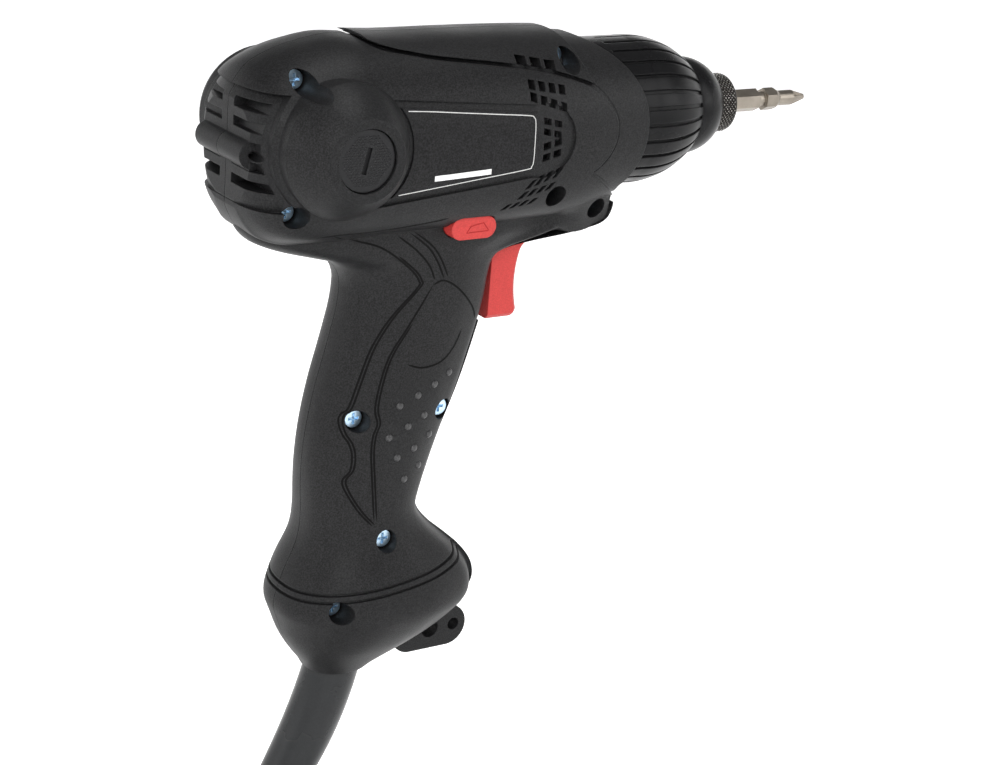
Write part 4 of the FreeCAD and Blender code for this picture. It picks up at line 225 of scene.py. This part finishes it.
def metal(name, colour, rough, brush_size, wear=0.25, soften=0.0003):
    """A metal: fine drawn or ground lines, and stains that change its sheen."""
    made = bpy.data.materials.new(name)
    made.use_nodes = True
    tree = made.node_tree
    shader = tree.nodes["Principled BSDF"]
    shader.inputs["Metallic"].default_value = 1.0
    where = tree.nodes.new("ShaderNodeTexCoord")
    stretch = tree.nodes.new("ShaderNodeMapping")
    stretch.inputs["Scale"].default_value = (0.08, 1.0, 1.0)
    tree.links.new(where.outputs["Object"], stretch.inputs["Vector"])
    brush = tree.nodes.new("ShaderNodeTexNoise")
    brush.inputs["Scale"].default_value = 1 / brush_size
    brush.inputs["Detail"].default_value = 2
    tree.links.new(stretch.outputs["Vector"], brush.inputs["Vector"])
    stain = tree.nodes.new("ShaderNodeTexNoise")
    stain.inputs["Scale"].default_value = 160
    stain.inputs["Detail"].default_value = 5
    tree.links.new(where.outputs["Object"], stain.inputs["Vector"])
    tone = tree.nodes.new("ShaderNodeValToRGB")
    tone.color_ramp.elements[0].position = 0.35
    tone.color_ramp.elements[0].color = (*[c * (1 - wear) for c in colour], 1)
    tone.color_ramp.elements[1].position = 0.65
    tone.color_ramp.elements[1].color = (*colour, 1)
    tree.links.new(stain.outputs["Fac"], tone.inputs["Fac"])
    tree.links.new(tone.outputs["Color"], shader.inputs["Base Color"])
    polish = tree.nodes.new("ShaderNodeMapRange")
    polish.inputs["To Min"].default_value = rough - 0.08
    polish.inputs["To Max"].default_value = rough + 0.12
    tree.links.new(brush.outputs["Fac"], polish.inputs["Value"])
    tree.links.new(polish.outputs["Result"], shader.inputs["Roughness"])
    edge = tree.nodes.new("ShaderNodeBevel")
    edge.samples = 4
    edge.inputs["Radius"].default_value = soften
    bump = tree.nodes.new("ShaderNodeBump")
    bump.inputs["Strength"].default_value = 0.3
    bump.inputs["Distance"].default_value = 0.00003
    tree.links.new(brush.outputs["Fac"], bump.inputs["Height"])
    tree.links.new(edge.outputs["Normal"], bump.inputs["Normal"])
    tree.links.new(bump.outputs["Normal"], shader.inputs["Normal"])
    return made


pin_brass = metal("pin_brass", (0.66, 0.55, 0.33), rough=0.3, brush_size=0.0006)
dress("plug_pins", pin_brass)


# Universal motor: stacked steel laminations, enamelled copper wire, a copper commutator on a
# ground shaft between two shielded bearings, and a moulded fan in front.
lamination = metal("lamination_steel", (0.30, 0.30, 0.31), rough=0.45, brush_size=0.0005)
copper_wire = metal("enamelled_copper", (0.55, 0.24, 0.10), rough=0.35, brush_size=0.0007)
ground_steel = metal("ground_steel", (0.50, 0.50, 0.51), rough=0.28, brush_size=0.0006)
inner_plastic = moulded(
    "inner_plastic", (0.06, 0.06, 0.062),
    rough=0.55, grain_size=0.0004, grain_depth=0.00004,
)
for piece in ("stator_core", "armature_core"):
    dress(piece, lamination)
for piece in ("field_coils", "armature_winding", "commutator"):
    dress(piece, copper_wire)
for piece in ("armature_shaft", "rear_bearing", "front_bearing", "sun_pinion"):
    dress(piece, ground_steel)
dress("cooling_fan", inner_plastic)


# Brush gear: two pressed carbon blocks that rub on the commutator, each pushed along its brass holder
# by a light wire spring behind it; the brush caps close the holders.
pressed_carbon = moulded(
    "pressed_carbon", (0.035, 0.035, 0.036),
    rough=0.6, grain_size=0.0005, grain_depth=0.00005,
)
spring_steel = metal("spring_steel", (0.42, 0.42, 0.43), rough=0.3, brush_size=0.0004)
for side in ("right", "left"):
    dress(f"carbon_brush_{side}", pressed_carbon)
    dress(f"brush_holder_{side}", pin_brass)
    dress(f"brush_spring_{side}", spring_steel)


# Gear stage and impact mechanism: hardened steel gears, camshaft, hammer and anvil in a die-cast
# case, with a bronze bush in front.
die_cast = metal("die_cast_aluminium", (0.55, 0.55, 0.56), rough=0.45, brush_size=0.0009)
sintered_bronze = metal("sintered_bronze", (0.50, 0.33, 0.16), rough=0.4, brush_size=0.0005)
for piece in (
    "planet_gear_top", "planet_gear_bottom", "planet_pins", "ring_gear", "camshaft", "cam_balls",
    "hammer", "anvil", "detent_balls",
):
    dress(piece, ground_steel)
dress("retaining_ring", spring_steel)
for piece in ("gearcase_plate", "hammer_case"):
    dress(piece, die_cast)
dress("anvil_bush", sintered_bronze)


# Working springs: round-wire coils behind the hammer, in front of the collar's land and behind the
# trigger, each held at one seat.
def coil_spring(node, body, wire, turns):
    """A helix of round wire in the room of the frame's spring."""
    low, high = (Vector(corner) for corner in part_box(node))
    axis_y, axis_z = (low.y + high.y) / 2, (low.z + high.z) / 2
    length, radius = high.x - low.x, (high.z - low.z) / 2 - wire
    around, turn_steps = 8, 24
    reach, steps = length - 2 * wire, turns * turn_steps
    corners, panes = [], []
    for step in range(steps + 1):
        turned = math.tau * turns * step / steps
        out = Vector((0, -math.cos(turned), math.sin(turned)))
        climb = reach / (math.tau * turns)
        way = Vector((climb, radius * math.sin(turned), radius * math.cos(turned)))
        rise = out.cross(way.normalized())
        middle = Vector((low.x + wire + reach * step / steps, axis_y, axis_z)) + out * radius
        for k in range(around):
            spread = math.tau * k / around
            corners.append(middle + (out * math.cos(spread) + rise * math.sin(spread)) * wire)
    for step in range(steps):
        for k in range(around):
            here, after = step * around + k, step * around + (k + 1) % around
            panes.append((here, after, after + around, here + around))
    panes.append(tuple(range(around - 1, -1, -1)))
    panes.append(tuple(range(steps * around, (steps + 1) * around)))
    mesh = bpy.data.meshes.new(f"{node}_coil")
    mesh.from_pydata(corners, [], panes)
    mesh.materials.append(spring_steel)
    for pane in mesh.polygons:
        pane.use_smooth = len(pane.vertices) == 4
    shell = bmesh.new()
    shell.from_mesh(mesh)
    bmesh.ops.recalc_face_normals(shell, faces=shell.faces)
    shell.to_mesh(mesh)
    shell.free()
    spring = bpy.data.objects.new(f"{node}_coil", mesh)
    scene.collection.objects.link(spring)
    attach(spring, body)
    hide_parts(node)
    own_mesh(spring)


coil_spring(
    "hammer_spring", "carrier", wire=0.0008, turns=3
)
coil_spring(
    "collar_spring", "spindle", wire=0.00025, turns=3
)
coil_spring(
    "trigger_spring", "housing", wire=0.0007, turns=5
)


# Switch and wiring: a boxed trigger switch, a suppressor and two insulated leads inside the grip,
# with the moulded clamp that two screws draw down on the cord's tail.
for piece in ("switch_body", "capacitor", "cord_clamp"):
    dress(piece, inner_plastic)
lead_insulation = moulded(
    "lead_insulation", (0.09, 0.18, 0.42),
    rough=0.45, grain_size=0.0005, grain_depth=0.00003,
)
dress("switch_leads", lead_insulation)
blue_zinc = metal("blue_zinc", (0.62, 0.82, 1.0), rough=0.3, brush_size=0.0004, wear=0.35)
dress("clamp_screws", blue_zinc)


# Housing: two glass-filled nylon halves with a spark-eroded skin, drawn together by blue-zinc
# screws in deep sinks; the hanging tab is moulded apart and trapped between them.
housing_skin = moulded(
    "housing_skin", (0.0115, 0.0115, 0.012),
    rough=0.42, grain_size=0.00045, grain_depth=0.00009, speck=0.35, gloss=0.14,
)
for piece in ("right_housing", "left_housing", "hanging_tab"):
    dress(piece, housing_skin)
dress("housing_screws", blue_zinc)


# Grip decor: fine double grooves that frame a blade, a fan and a thumb oval, cut in the mould so
# that each stands between two low lips, and three slanting rows of raised beads. The floor and
# inner slopes of each groove are painted near-black as a painted shadow.
mm = 0.001
# Painted shadow: the near-black laid in the valley of every groove.
groove_shadow = moulded(
    "groove_shadow", (0.0025, 0.0025, 0.0025),
    rough=0.7, grain_size=0.0005, grain_depth=0.00002, gloss=0.1,
)
bead_skin = moulded(
    "bead_skin", (0.026, 0.026, 0.027),
    rough=0.34, grain_size=0.0005, grain_depth=0.00002, gloss=0.5,
)
blade_rear = [
    (-33.0, 49.7), (-24.0, 46.6), (-15.9, 44.2), (-9.7, 40.5), (-3.8, 35.7), (-1.3, 32.4),
    (-1.6, 30.4), (-8.4, 21.9), (-13.5, 12.6), (-16.9, 2.8), (-19.7, -6.0), (-21.4, -8.0),
    (-22.0, -10.6), (-21.2, -14.0), (-19.5, -17.0), (-18.7, -20.8), (-19.1, -25.1), (-21.0, -29.3),
    (-16.8, -37.4), (-12.0, -42.8),
]
blade_front = [
    (3.4, 30.8), (-3.2, 19.4), (-8.7, 10.2), (-11.4, 1.8), (-12.7, -6.0), (-11.9, -10.7),
    (-13.0, -14.6), (-13.3, -20.3), (-12.5, -29.8), (-11.4, -41.6),
]
fan_lines = [
    [(-9.8, 46.9), (-3.2, 42.0), (1.5, 37.1), (3.9, 32.3)],
    [(-8.0, 50.2), (1.4, 43.4), (5.4, 38.6), (8.4, 32.8)],
]
thumb_oval = [(3.4, 30.8), (7.1, 31.9), (12.8, 28.6), (19.2, 22.0), (21.4, 17.6)]
thumb_foot = [(-3.1, 6.9), (2.0, 5.5), (8.5, 6.6), (13.0, 10.4), (15.6, 15.4)]
belly_crease = [
    (-46.3, 47.8), (-33.2, 50.2), (-22.0, 50.4), (-12.7, 50.8), (-4.0, 51.7), (3.0, 52.8),
]
double_gap, fan_gap_share = 0.9, 1.6
bead_places = [
    (12.5, 2.2), (6.8, -0.4), (1.0, -3.1), (-5.0, -5.7), (4.0, -9.9), (-1.6, -12.6), (-7.9, -15.4),
    (7.3, -17.0), (1.4, -20.1), (-4.6, -22.2), (4.2, -26.5), (-1.4, -29.6),
]


def skin_tree(*owners):
    """The outer skin of some solids, to set small forms on."""
    corners, panes = [], []
    for owner in owners:
        first = len(corners)
        corners.extend(corner.co.copy() for corner in nodes[owner].data.vertices)
        for pane in nodes[owner].data.polygons:
            panes.append([first + corner for corner in pane.vertices])
    return BVHTree.FromPolygons(corners, panes)


def flowing(places, steps=8):
    """Points along a line that flows through the places, given in millimetres."""
    ends = [places[0], *places, places[-1]]
    run = []
    for before, here, there, after in zip(ends, ends[1:], ends[2:], ends[3:]):
        for step in range(steps):
            t = step / steps
            point = []
            for b, h, n, a in zip(before, here, there, after):
                bend, twist = 2 * b - 5 * h + 4 * n - a, 3 * h - b - 3 * n + a
                twice = 2 * h + (n - b) * t + bend * t**2 + twist * t**3
                point.append(mm / 2 * twice)
            run.append(tuple(point))
    run.append((places[-1][0] * mm, places[-1][1] * mm))
    return run


def on_skin(tree, x, z, side):
    """The place where a skin is met from the tool's side, and the way it faces there."""
    outside = 0.08
    place, facing, _, _ = tree.ray_cast(Vector((x, side * outside, z)), Vector((0, -side, 0)))
    return place, facing


def strands(tree, run, side):
    """The line set on a skin from its side, broken where it crosses a hole or a step."""
    tallest_step = 0.0009
    parts, part = [], []
    for x, z in run:
        place, facing = on_skin(tree, x, z, side)
        if place is None or (part and abs(place.y - part[-1][0].y) > tallest_step):
            parts.append(part)
            part = []
        if place is not None:
            part.append((place, facing))
    return [part for part in parts + [part] if len(part) > 3]


def ribs(name, tree, runs, side, section, finishes, strip_finish_and_shade, owner, fade=True):
    """A piece of fine ribs or printed lines laid on a skin along some runs; each strip takes one
    finish, and the dark strips in a rib's valley are painted shade.
    """
    taper_steps, taper_start = 3, 0.3
    corners, panes, kinds = [], [], []
    for run in runs:
        for part in strands(tree, run, side):
            first, count = len(corners), len(section)
            for i, (place, facing) in enumerate(part):
                ahead = part[min(i + 1, len(part) - 1)][0] - part[max(i - 1, 0)][0]
                across = ahead.cross(facing).normalized()
                nearest_end = min(i, len(part) - 1 - i)
                share = min(1.0, (nearest_end + taper_start) / taper_steps) if fade else 1.0
                for out, lift in section:
                    corners.append(place + across * out * share + facing * lift * share)
            for i in range(len(part) - 1):
                for k in range(count - 1):
                    base = first + i * count + k
                    panes.append((base, base + 1, base + count + 1, base + count))
                    kinds.append(strip_finish_and_shade[k])
    mesh = bpy.data.meshes.new(name)
    mesh.from_pydata(corners, [], panes)
    for finish in finishes:
        mesh.materials.append(finish)
    for pane, kind in zip(mesh.polygons, kinds):
        pane.material_index = kind
        pane.use_smooth = True
    piece = bpy.data.objects.new(name, mesh)
    scene.collection.objects.link(piece)
    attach(piece, owner)


def beside(places, gap, slant=0.15):
    """A second line beside the first, a gap in front of it and a little higher."""
    return [(x + gap, z + gap * slant) for x, z in places]


groove_section = [
    (-0.00052, -0.0001), (-0.0003, 0.00011), (-0.00012, 0.00003),
    (0.00012, 0.00003), (0.0003, 0.00011), (0.00052, -0.0001),
]
# The three middle strips of each groove take the painted shadow, the outer two the housing skin.
groove_skin_and_shadow, groove_strips = [housing_skin, groove_shadow], [0, 1, 1, 1, 0]
bead_radius, bead_rise, around = 0.0012, 0.00062, 14
bead_rings = ((1.0, -0.12), (0.93, 0.3), (0.72, 0.68), (0.4, 0.93))
decor = [
    blade_rear,
    beside(blade_rear[3:], double_gap),
    blade_front,
    beside(blade_front[1:], double_gap),
    *fan_lines,
    beside(fan_lines[1], -double_gap * fan_gap_share),
    thumb_oval,
    thumb_foot,
    belly_crease,
]
for side, owner in ((-1, "right_housing"), (1, "left_housing")):
    grip_skin = skin_tree(owner)
    half = owner.split("_")[0]
    runs = [flowing(line) for line in decor]
    ribs(
        f"grip_grooves_{half}", grip_skin, runs, side, groove_section,
        groove_skin_and_shadow, groove_strips, "housing",
    )
    corners, panes = [], []
    for x, z in bead_places:
        place, facing = on_skin(grip_skin, x * mm, z * mm, side)
        if place is None:
            continue
        level = facing.orthogonal().normalized()
        upright = facing.cross(level)
        first = len(corners)
        for spread, lift in bead_rings:
            for k in range(around):
                turned = math.tau * k / around
                out = level * math.cos(turned) + upright * math.sin(turned)
                corners.append(place + out * bead_radius * spread + facing * bead_rise * lift)
        corners.append(place + facing * bead_rise)
        last_ring = len(bead_rings) - 1
        for ring in range(last_ring):
            for k in range(around):
                low, after = first + ring * around + k, first + ring * around + (k + 1) % around
                panes.append((low, after, after + around, low + around))
        rim = first + last_ring * around
        for k in range(around):
            panes.append((rim + k, rim + (k + 1) % around, len(corners) - 1))
    bead_mesh = bpy.data.meshes.new(f"grip_beads_{half}")
    bead_mesh.from_pydata(corners, [], panes)
    bead_mesh.materials.append(bead_skin)
    for pane in bead_mesh.polygons:
        pane.use_smooth = True
    grip_beads = bpy.data.objects.new(f"grip_beads_{half}", bead_mesh)
    scene.collection.objects.link(grip_beads)
    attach(grip_beads, "housing")


# Chin cheeks: the flat side walls under the nose that close the sinks of the chin screw; they run
# from the barrel down to the chin's lower edge, and fade into the belly behind.
cheek_columns = [43.0, 46.0, 49.0, 52.0, 54.0, 56.0, 58.0, 60.0, 62.0, 63.8, 65.5]
cheek_top_z = [52.0, 52.5, 53.0, 53.5, 54.0, 54.0, 54.0, 54.0, 54.0, 53.9, 51.6]
cheek_top_y = [21.9, 22.0, 22.1, 21.95, 22.0, 21.4, 20.9, 20.3, 19.7, 18.9, 15.9]
cheek_foot_z = [42.6, 42.6, 42.4, 42.2, 42.1, 42.4, 42.9, 43.8, 44.9, 45.8, 47.4]
cheek_foot_y = [13.2, 14.0, 14.8, 15.4, 15.7, 15.9, 16.0, 16.2, 16.6, 16.9, 16.6]
cheek_inner_y = [12.6, 12.2, 12.0, 11.0, 9.0, 6.0, 5.5, 5.5, 5.5, 5.5, 5.5]
cheek_rows, fade_from, fade_to = 8, 43.0, 52.0
cheek_thinnest, cheek_tuck = 0.4, 0.25
sink_x, sink_z, sink_radius, sink_through = 58.5, 50.0, 3.3, 0.08
for side, half in ((-1, "right"), (1, "left")):
    barrel_skin = skin_tree(f"{half}_housing")
    wall = bmesh.new()
    outer, inner = [], []
    for x, top_z, top_y, foot_z, foot_y, deep_y in zip(
        cheek_columns, cheek_top_z, cheek_top_y, cheek_foot_z, cheek_foot_y, cheek_inner_y
    ):
        share = min(max((x - fade_from) / (fade_to - fade_from), 0), 1)
        share = share * share * (3 - 2 * share)
        for row in range(cheek_rows):
            down = row / (cheek_rows - 1)
            z = top_z + (foot_z - top_z) * down
            y = top_y + (foot_y - top_y) * down
            if share < 1:
                place, _ = on_skin(barrel_skin, x * mm, z * mm, side)
                skin_y = abs(place.y) * 1000 - cheek_tuck if place else foot_y
                y = y * share + skin_y * (1 - share)
            inner_y = min(deep_y, y - cheek_thinnest)
            outer.append(wall.verts.new((x * mm, side * y * mm, z * mm)))
            inner.append(wall.verts.new((x * mm, side * inner_y * mm, z * mm)))
    last_column = len(cheek_columns) - 1
    for column in range(last_column):
        for row in range(cheek_rows - 1):
            a, b = column * cheek_rows + row, (column + 1) * cheek_rows + row
            wall.faces.new((outer[a], outer[b], outer[b + 1], outer[a + 1]))
            wall.faces.new((inner[a + 1], inner[b + 1], inner[b], inner[a]))
        for row in (0, cheek_rows - 1):
            a, b = column * cheek_rows + row, (column + 1) * cheek_rows + row
            wall.faces.new((outer[a], inner[a], inner[b], outer[b]))
    for column in (0, last_column):
        for row in range(cheek_rows - 1):
            a = column * cheek_rows + row
            wall.faces.new((outer[a], outer[a + 1], inner[a + 1], inner[a]))
    bmesh.ops.recalc_face_normals(wall, faces=wall.faces)
    wall_mesh = bpy.data.meshes.new(f"chin_cheek_{half}")
    wall.to_mesh(wall_mesh)
    wall.free()
    solid_cheek = bpy.data.objects.new("solid_cheek", wall_mesh)
    drill = bmesh.new()
    bmesh.ops.create_cone(
        drill,
        cap_ends=True,
        segments=48,
        radius1=sink_radius * mm,
        radius2=sink_radius * mm,
        depth=sink_through,
    )
    bmesh.ops.rotate(drill, verts=drill.verts, matrix=Matrix.Rotation(math.pi / 2, 3, "X"))
    bmesh.ops.translate(drill, verts=drill.verts, vec=(sink_x * mm, 0, sink_z * mm))
    drill_mesh = bpy.data.meshes.new("sink_drill")
    drill.to_mesh(drill_mesh)
    drill.free()
    sink_drill = bpy.data.objects.new("sink_drill", drill_mesh)
    scene.collection.objects.link(solid_cheek)
    scene.collection.objects.link(sink_drill)
    cut = solid_cheek.modifiers.new("sink", "BOOLEAN")
    cut.operation, cut.object, cut.solver = "DIFFERENCE", sink_drill, "EXACT"
    worked = solid_cheek.evaluated_get(bpy.context.evaluated_depsgraph_get())
    drilled = bpy.data.meshes.new_from_object(worked)
    bpy.data.objects.remove(solid_cheek)
    bpy.data.objects.remove(sink_drill)
    drilled.name = f"chin_cheek_{half}"
    drilled.materials.clear()
    drilled.materials.append(housing_skin)
    drilled.shade_smooth()
    drilled.set_sharp_from_angle(angle=math.radians(35))
    chin_cheek = bpy.data.objects.new(f"chin_cheek_{half}", drilled)
    scene.collection.objects.link(chin_cheek)
    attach(chin_cheek, "housing")


# Rating label: a black film bonded in its shallow field, printed with a thin pale frame and one
# bare white strip.
label_film = moulded(
    "label_film", (0.010, 0.010, 0.0105),
    rough=0.36, grain_size=0.0005, grain_depth=0.00003, speck=0.35, gloss=0.13,
)
dress("rating_label", label_film)
pale_ink = moulded(
    "pale_ink", (0.55, 0.55, 0.54),
    rough=0.5, grain_size=0.0005, grain_depth=0.00001,
)
white_ink = moulded(
    "white_ink", (0.82, 0.82, 0.81),
    rough=0.5, grain_size=0.0005, grain_depth=0.00001,
)
frame_line = [
    (-14.6, 85.5), (-7.0, 85.0), (0.0, 84.4), (14.0, 83.2), (25.4, 82.2), (27.2, 81.5),
    (27.7, 80.0), (27.7, 74.0), (27.7, 68.8), (27.2, 67.2), (25.6, 66.5), (10.0, 64.8),
    (0.0, 63.7), (-10.0, 62.6), (-16.6, 61.9),
]
strip_line = [(-5.4, 66.0), (0.0, 66.2), (7.0, 66.5), (13.4, 66.8)]
label_skin = skin_tree("rating_label")
frame_section = [(-0.00013, 0.00002), (0, 0.00003), (0.00013, 0.00002)]
strip_section = [(-0.0008, 0.00003), (0, 0.00004), (0.0008, 0.00003)]
ribs(
    "label_frame", label_skin, [flowing(frame_line)], -1, frame_section, [pale_ink], [0, 0],
    "housing", fade=False,
)
ribs(
    "label_strip", label_skin, [flowing(strip_line)], -1, strip_section, [white_ink], [0, 0],
    "housing", fade=False,
)


# Brush caps: slotted discs screwed in flush with their bosses; the face carries a moulded weave of
# staggered pips so that a thumb can turn it.
cap_face = moulded(
    "cap_face", (0.009, 0.009, 0.010),
    rough=0.32, grain_size=0.0004, grain_depth=0.00005, gloss=0.25,
)
weave_radius, slot_half, slot_reach = 0.0079, 0.0013, 0.0045
slot_tilt = math.radians(13)
pip_long, pip_high, pip_rise, pip_sides = 0.00052, 0.00031, 0.00026, 8
row_pitch, pip_pitch, pip_columns = 0.00074, 0.00118, 8
for side, half in ((-1, "right"), (1, "left")):
    dress(f"brush_cap_{half}", cap_face)
    low, high = (Vector(corner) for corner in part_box(f"brush_cap_{half}"))
    face_y = low.y if side < 0 else high.y
    middle = Vector(((low.x + high.x) / 2, face_y, (low.z + high.z) / 2))
    corners, panes = [], []
    rows = int(weave_radius / row_pitch)
    for row in range(-rows, rows + 1):
        shift = pip_pitch / 2 * (row % 2)
        for column in range(-pip_columns, pip_columns + 1):
            x, z = column * pip_pitch + shift, row * row_pitch
            along = abs(z * math.cos(slot_tilt) + x * math.sin(slot_tilt))
            across = abs(x * math.cos(slot_tilt) - z * math.sin(slot_tilt))
            in_slot = across < slot_half and along < slot_reach
            if in_slot or math.hypot(x, z) > weave_radius - pip_long:
                continue
            first = len(corners)
            for spread, lift in ((1.0, -0.2), (0.8, 0.6)):
                for k in range(pip_sides):
                    turned = math.tau * k / pip_sides
                    out = Vector((pip_long * math.cos(turned), 0, pip_high * math.sin(turned)))
                    corners.append(middle + Vector((x, side * pip_rise * lift, z)) + out * spread)
            corners.append(middle + Vector((x, side * pip_rise, z)))
            upper = first + pip_sides
            for k in range(pip_sides):
                after = (k + 1) % pip_sides
                panes.append((first + k, first + after, upper + after, upper + k))
                panes.append((upper + k, upper + after, len(corners) - 1))
    weave_mesh = bpy.data.meshes.new(f"cap_weave_{half}")
    weave_mesh.from_pydata(corners, [], panes)
    weave_mesh.materials.append(cap_face)
    for pane in weave_mesh.polygons:
        pane.use_smooth = True
    cap_weave = bpy.data.objects.new(f"cap_weave_{half}", weave_mesh)
    scene.collection.objects.link(cap_weave)
    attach(cap_weave, "housing")


# Nose: a fluted sleeve and a smooth ring, both moulded in satin black plastic and fitted over the
# die-cast hammer case in front of the housing.
nose_satin = moulded(
    "nose_satin", (0.007, 0.007, 0.0075),
    rough=0.26, grain_size=0.0005, grain_depth=0.00002, soften=0.0005, gloss=0.11,
)
for piece in ("nose_sleeve", "nose_ring"):
    dress(piece, nose_satin)


# Quick-change collar: a blackened steel sleeve, diamond-knurled all round so that it can be pulled
# forward with two fingers; the tips of the knurl's points carry a painted glint of bright metal.
collar_steel = metal("collar_steel", (0.06, 0.056, 0.052), rough=0.38, brush_size=0.0004)
dress("bit_collar", collar_steel)
knurl_black = metal("knurl_black", (0.03, 0.028, 0.026), rough=0.42, brush_size=0.0004)
# Painted glint: a bright metal laid on the tip of every knurl point.
knurl_painted_glint = metal("knurl_painted_glint", (0.85, 0.83, 0.78), rough=0.25, brush_size=0.0004)
knurl_around, knurl_rows, knurl_rise, knurl_root = 84, 9, 0.00042, 0.00003
knurl_margin, tip_share, tip_lift = 0.0009, 0.42, 0.00001
low, high = (Vector(corner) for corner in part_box("bit_collar"))
knurl_radius, axis_z = (high.z - low.z) / 2, (high.z + low.z) / 2
knurl_rear, knurl_front = low.x + knurl_margin, high.x - knurl_margin
corners, panes = [], []
for row in range(knurl_rows + 1):
    for k in range(knurl_around):
        turned = math.tau * k / knurl_around
        peak = (row + k) % 2 == 0 and 0 < row < knurl_rows
        radius = knurl_radius + (knurl_rise if peak else knurl_root)
        x = knurl_rear + (knurl_front - knurl_rear) * row / knurl_rows
        corners.append((x, radius * math.sin(turned), axis_z + radius * math.cos(turned)))
for row in range(knurl_rows):
    for k in range(knurl_around):
        a, b = row * knurl_around + k, row * knurl_around + (k + 1) % knurl_around
        c, d = b + knurl_around, a + knurl_around
        panes += [(a, b, d), (c, d, b)] if (row + k) % 2 == 0 else [(a, b, c), (a, c, d)]
# The tips of the points, which take the painted glint.
tips = []
for pane in panes:
    peaks, others = [], []
    for corner in pane:
        _, y, z = corners[corner]
        raised = math.hypot(y, z - axis_z) > knurl_radius + knurl_rise / 2
        (peaks if raised else others).append(Vector(corners[corner]))
    if len(peaks) == 1:
        tips.append([peaks[0], *[peaks[0].lerp(other, tip_share) for other in others]])
black_count = len(panes)
for tip in tips:
    panes.append((len(corners), len(corners) + 1, len(corners) + 2))
    for point in tip:
        out = Vector((0, point.y, point.z - axis_z)).normalized()
        corners.append(tuple(point + out * tip_lift))
knurl_mesh = bpy.data.meshes.new("collar_knurl")
knurl_mesh.from_pydata(corners, [], panes)
knurl_mesh.materials.append(knurl_black)
knurl_mesh.materials.append(knurl_painted_glint)
for i, pane in enumerate(knurl_mesh.polygons):
    pane.material_index = 0 if i < black_count else 1
shell = bmesh.new()
shell.from_mesh(knurl_mesh)
bmesh.ops.recalc_face_normals(shell, faces=shell.faces)
shell.to_mesh(knurl_mesh)
shell.free()
collar_knurl = bpy.data.objects.new("collar_knurl", knurl_mesh)
scene.collection.objects.link(collar_knurl)
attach(collar_knurl, "collar")


# Screwdriver bit: a double-ended hexagon bit of shot-blasted, nickel-plated tool steel, pushed into
# its socket and drawn out forwards.
bit_steel = metal("bit_steel", (0.33, 0.295, 0.25), rough=0.36, brush_size=0.0005)
dress("screwdriver_bit", bit_steel)


# Trigger and reversing button: matte red mouldings; the button's face carries an arrow head
# outlined by a low raised rim, whose inner slopes are painted a darker red as painted shade.
red_moulding = moulded(
    "red_moulding", (0.47, 0.041, 0.037),
    rough=0.5, grain_size=0.0004, grain_depth=0.00003, gloss=0.25,
)
for piece in ("trigger", "reverse_button"):
    dress(piece, red_moulding)
# Painted shade: a darker red laid on the inner slopes of the arrow's rim.
arrow_painted_shade = moulded(
    "arrow_painted_shade", (0.30, 0.012, 0.012),
    rough=0.6, grain_size=0.0004, grain_depth=0.00002, gloss=0.2,
)
arrow_corners = [(10.5, 47.2), (18.1, 47.4), (16.1, 49.9), (11.8, 49.1), (10.5, 47.2)]
arrow_steps = 8
arrow_runs = []
for (x, z), (end_x, end_z) in zip(arrow_corners, arrow_corners[1:]):
    edge_run = []
    for i in range(arrow_steps + 1):
        along_x, along_z = (end_x - x) * i / arrow_steps, (end_z - z) * i / arrow_steps
        edge_run.append((mm * (x + along_x), mm * (z + along_z)))
    arrow_runs.append(edge_run)
arrow_section = [
    (-0.0003, -0.00005), (-0.00014, 0.00012), (0, 0.00004), (0.00014, 0.00012), (0.0003, -0.00005),
]
ribs(
    "button_arrow", skin_tree("reverse_button"), arrow_runs, -1, arrow_section,
    [red_moulding, arrow_painted_shade], [0, 1, 1, 0], "reverse", fade=False,
)


bpy.context.view_layer.update()
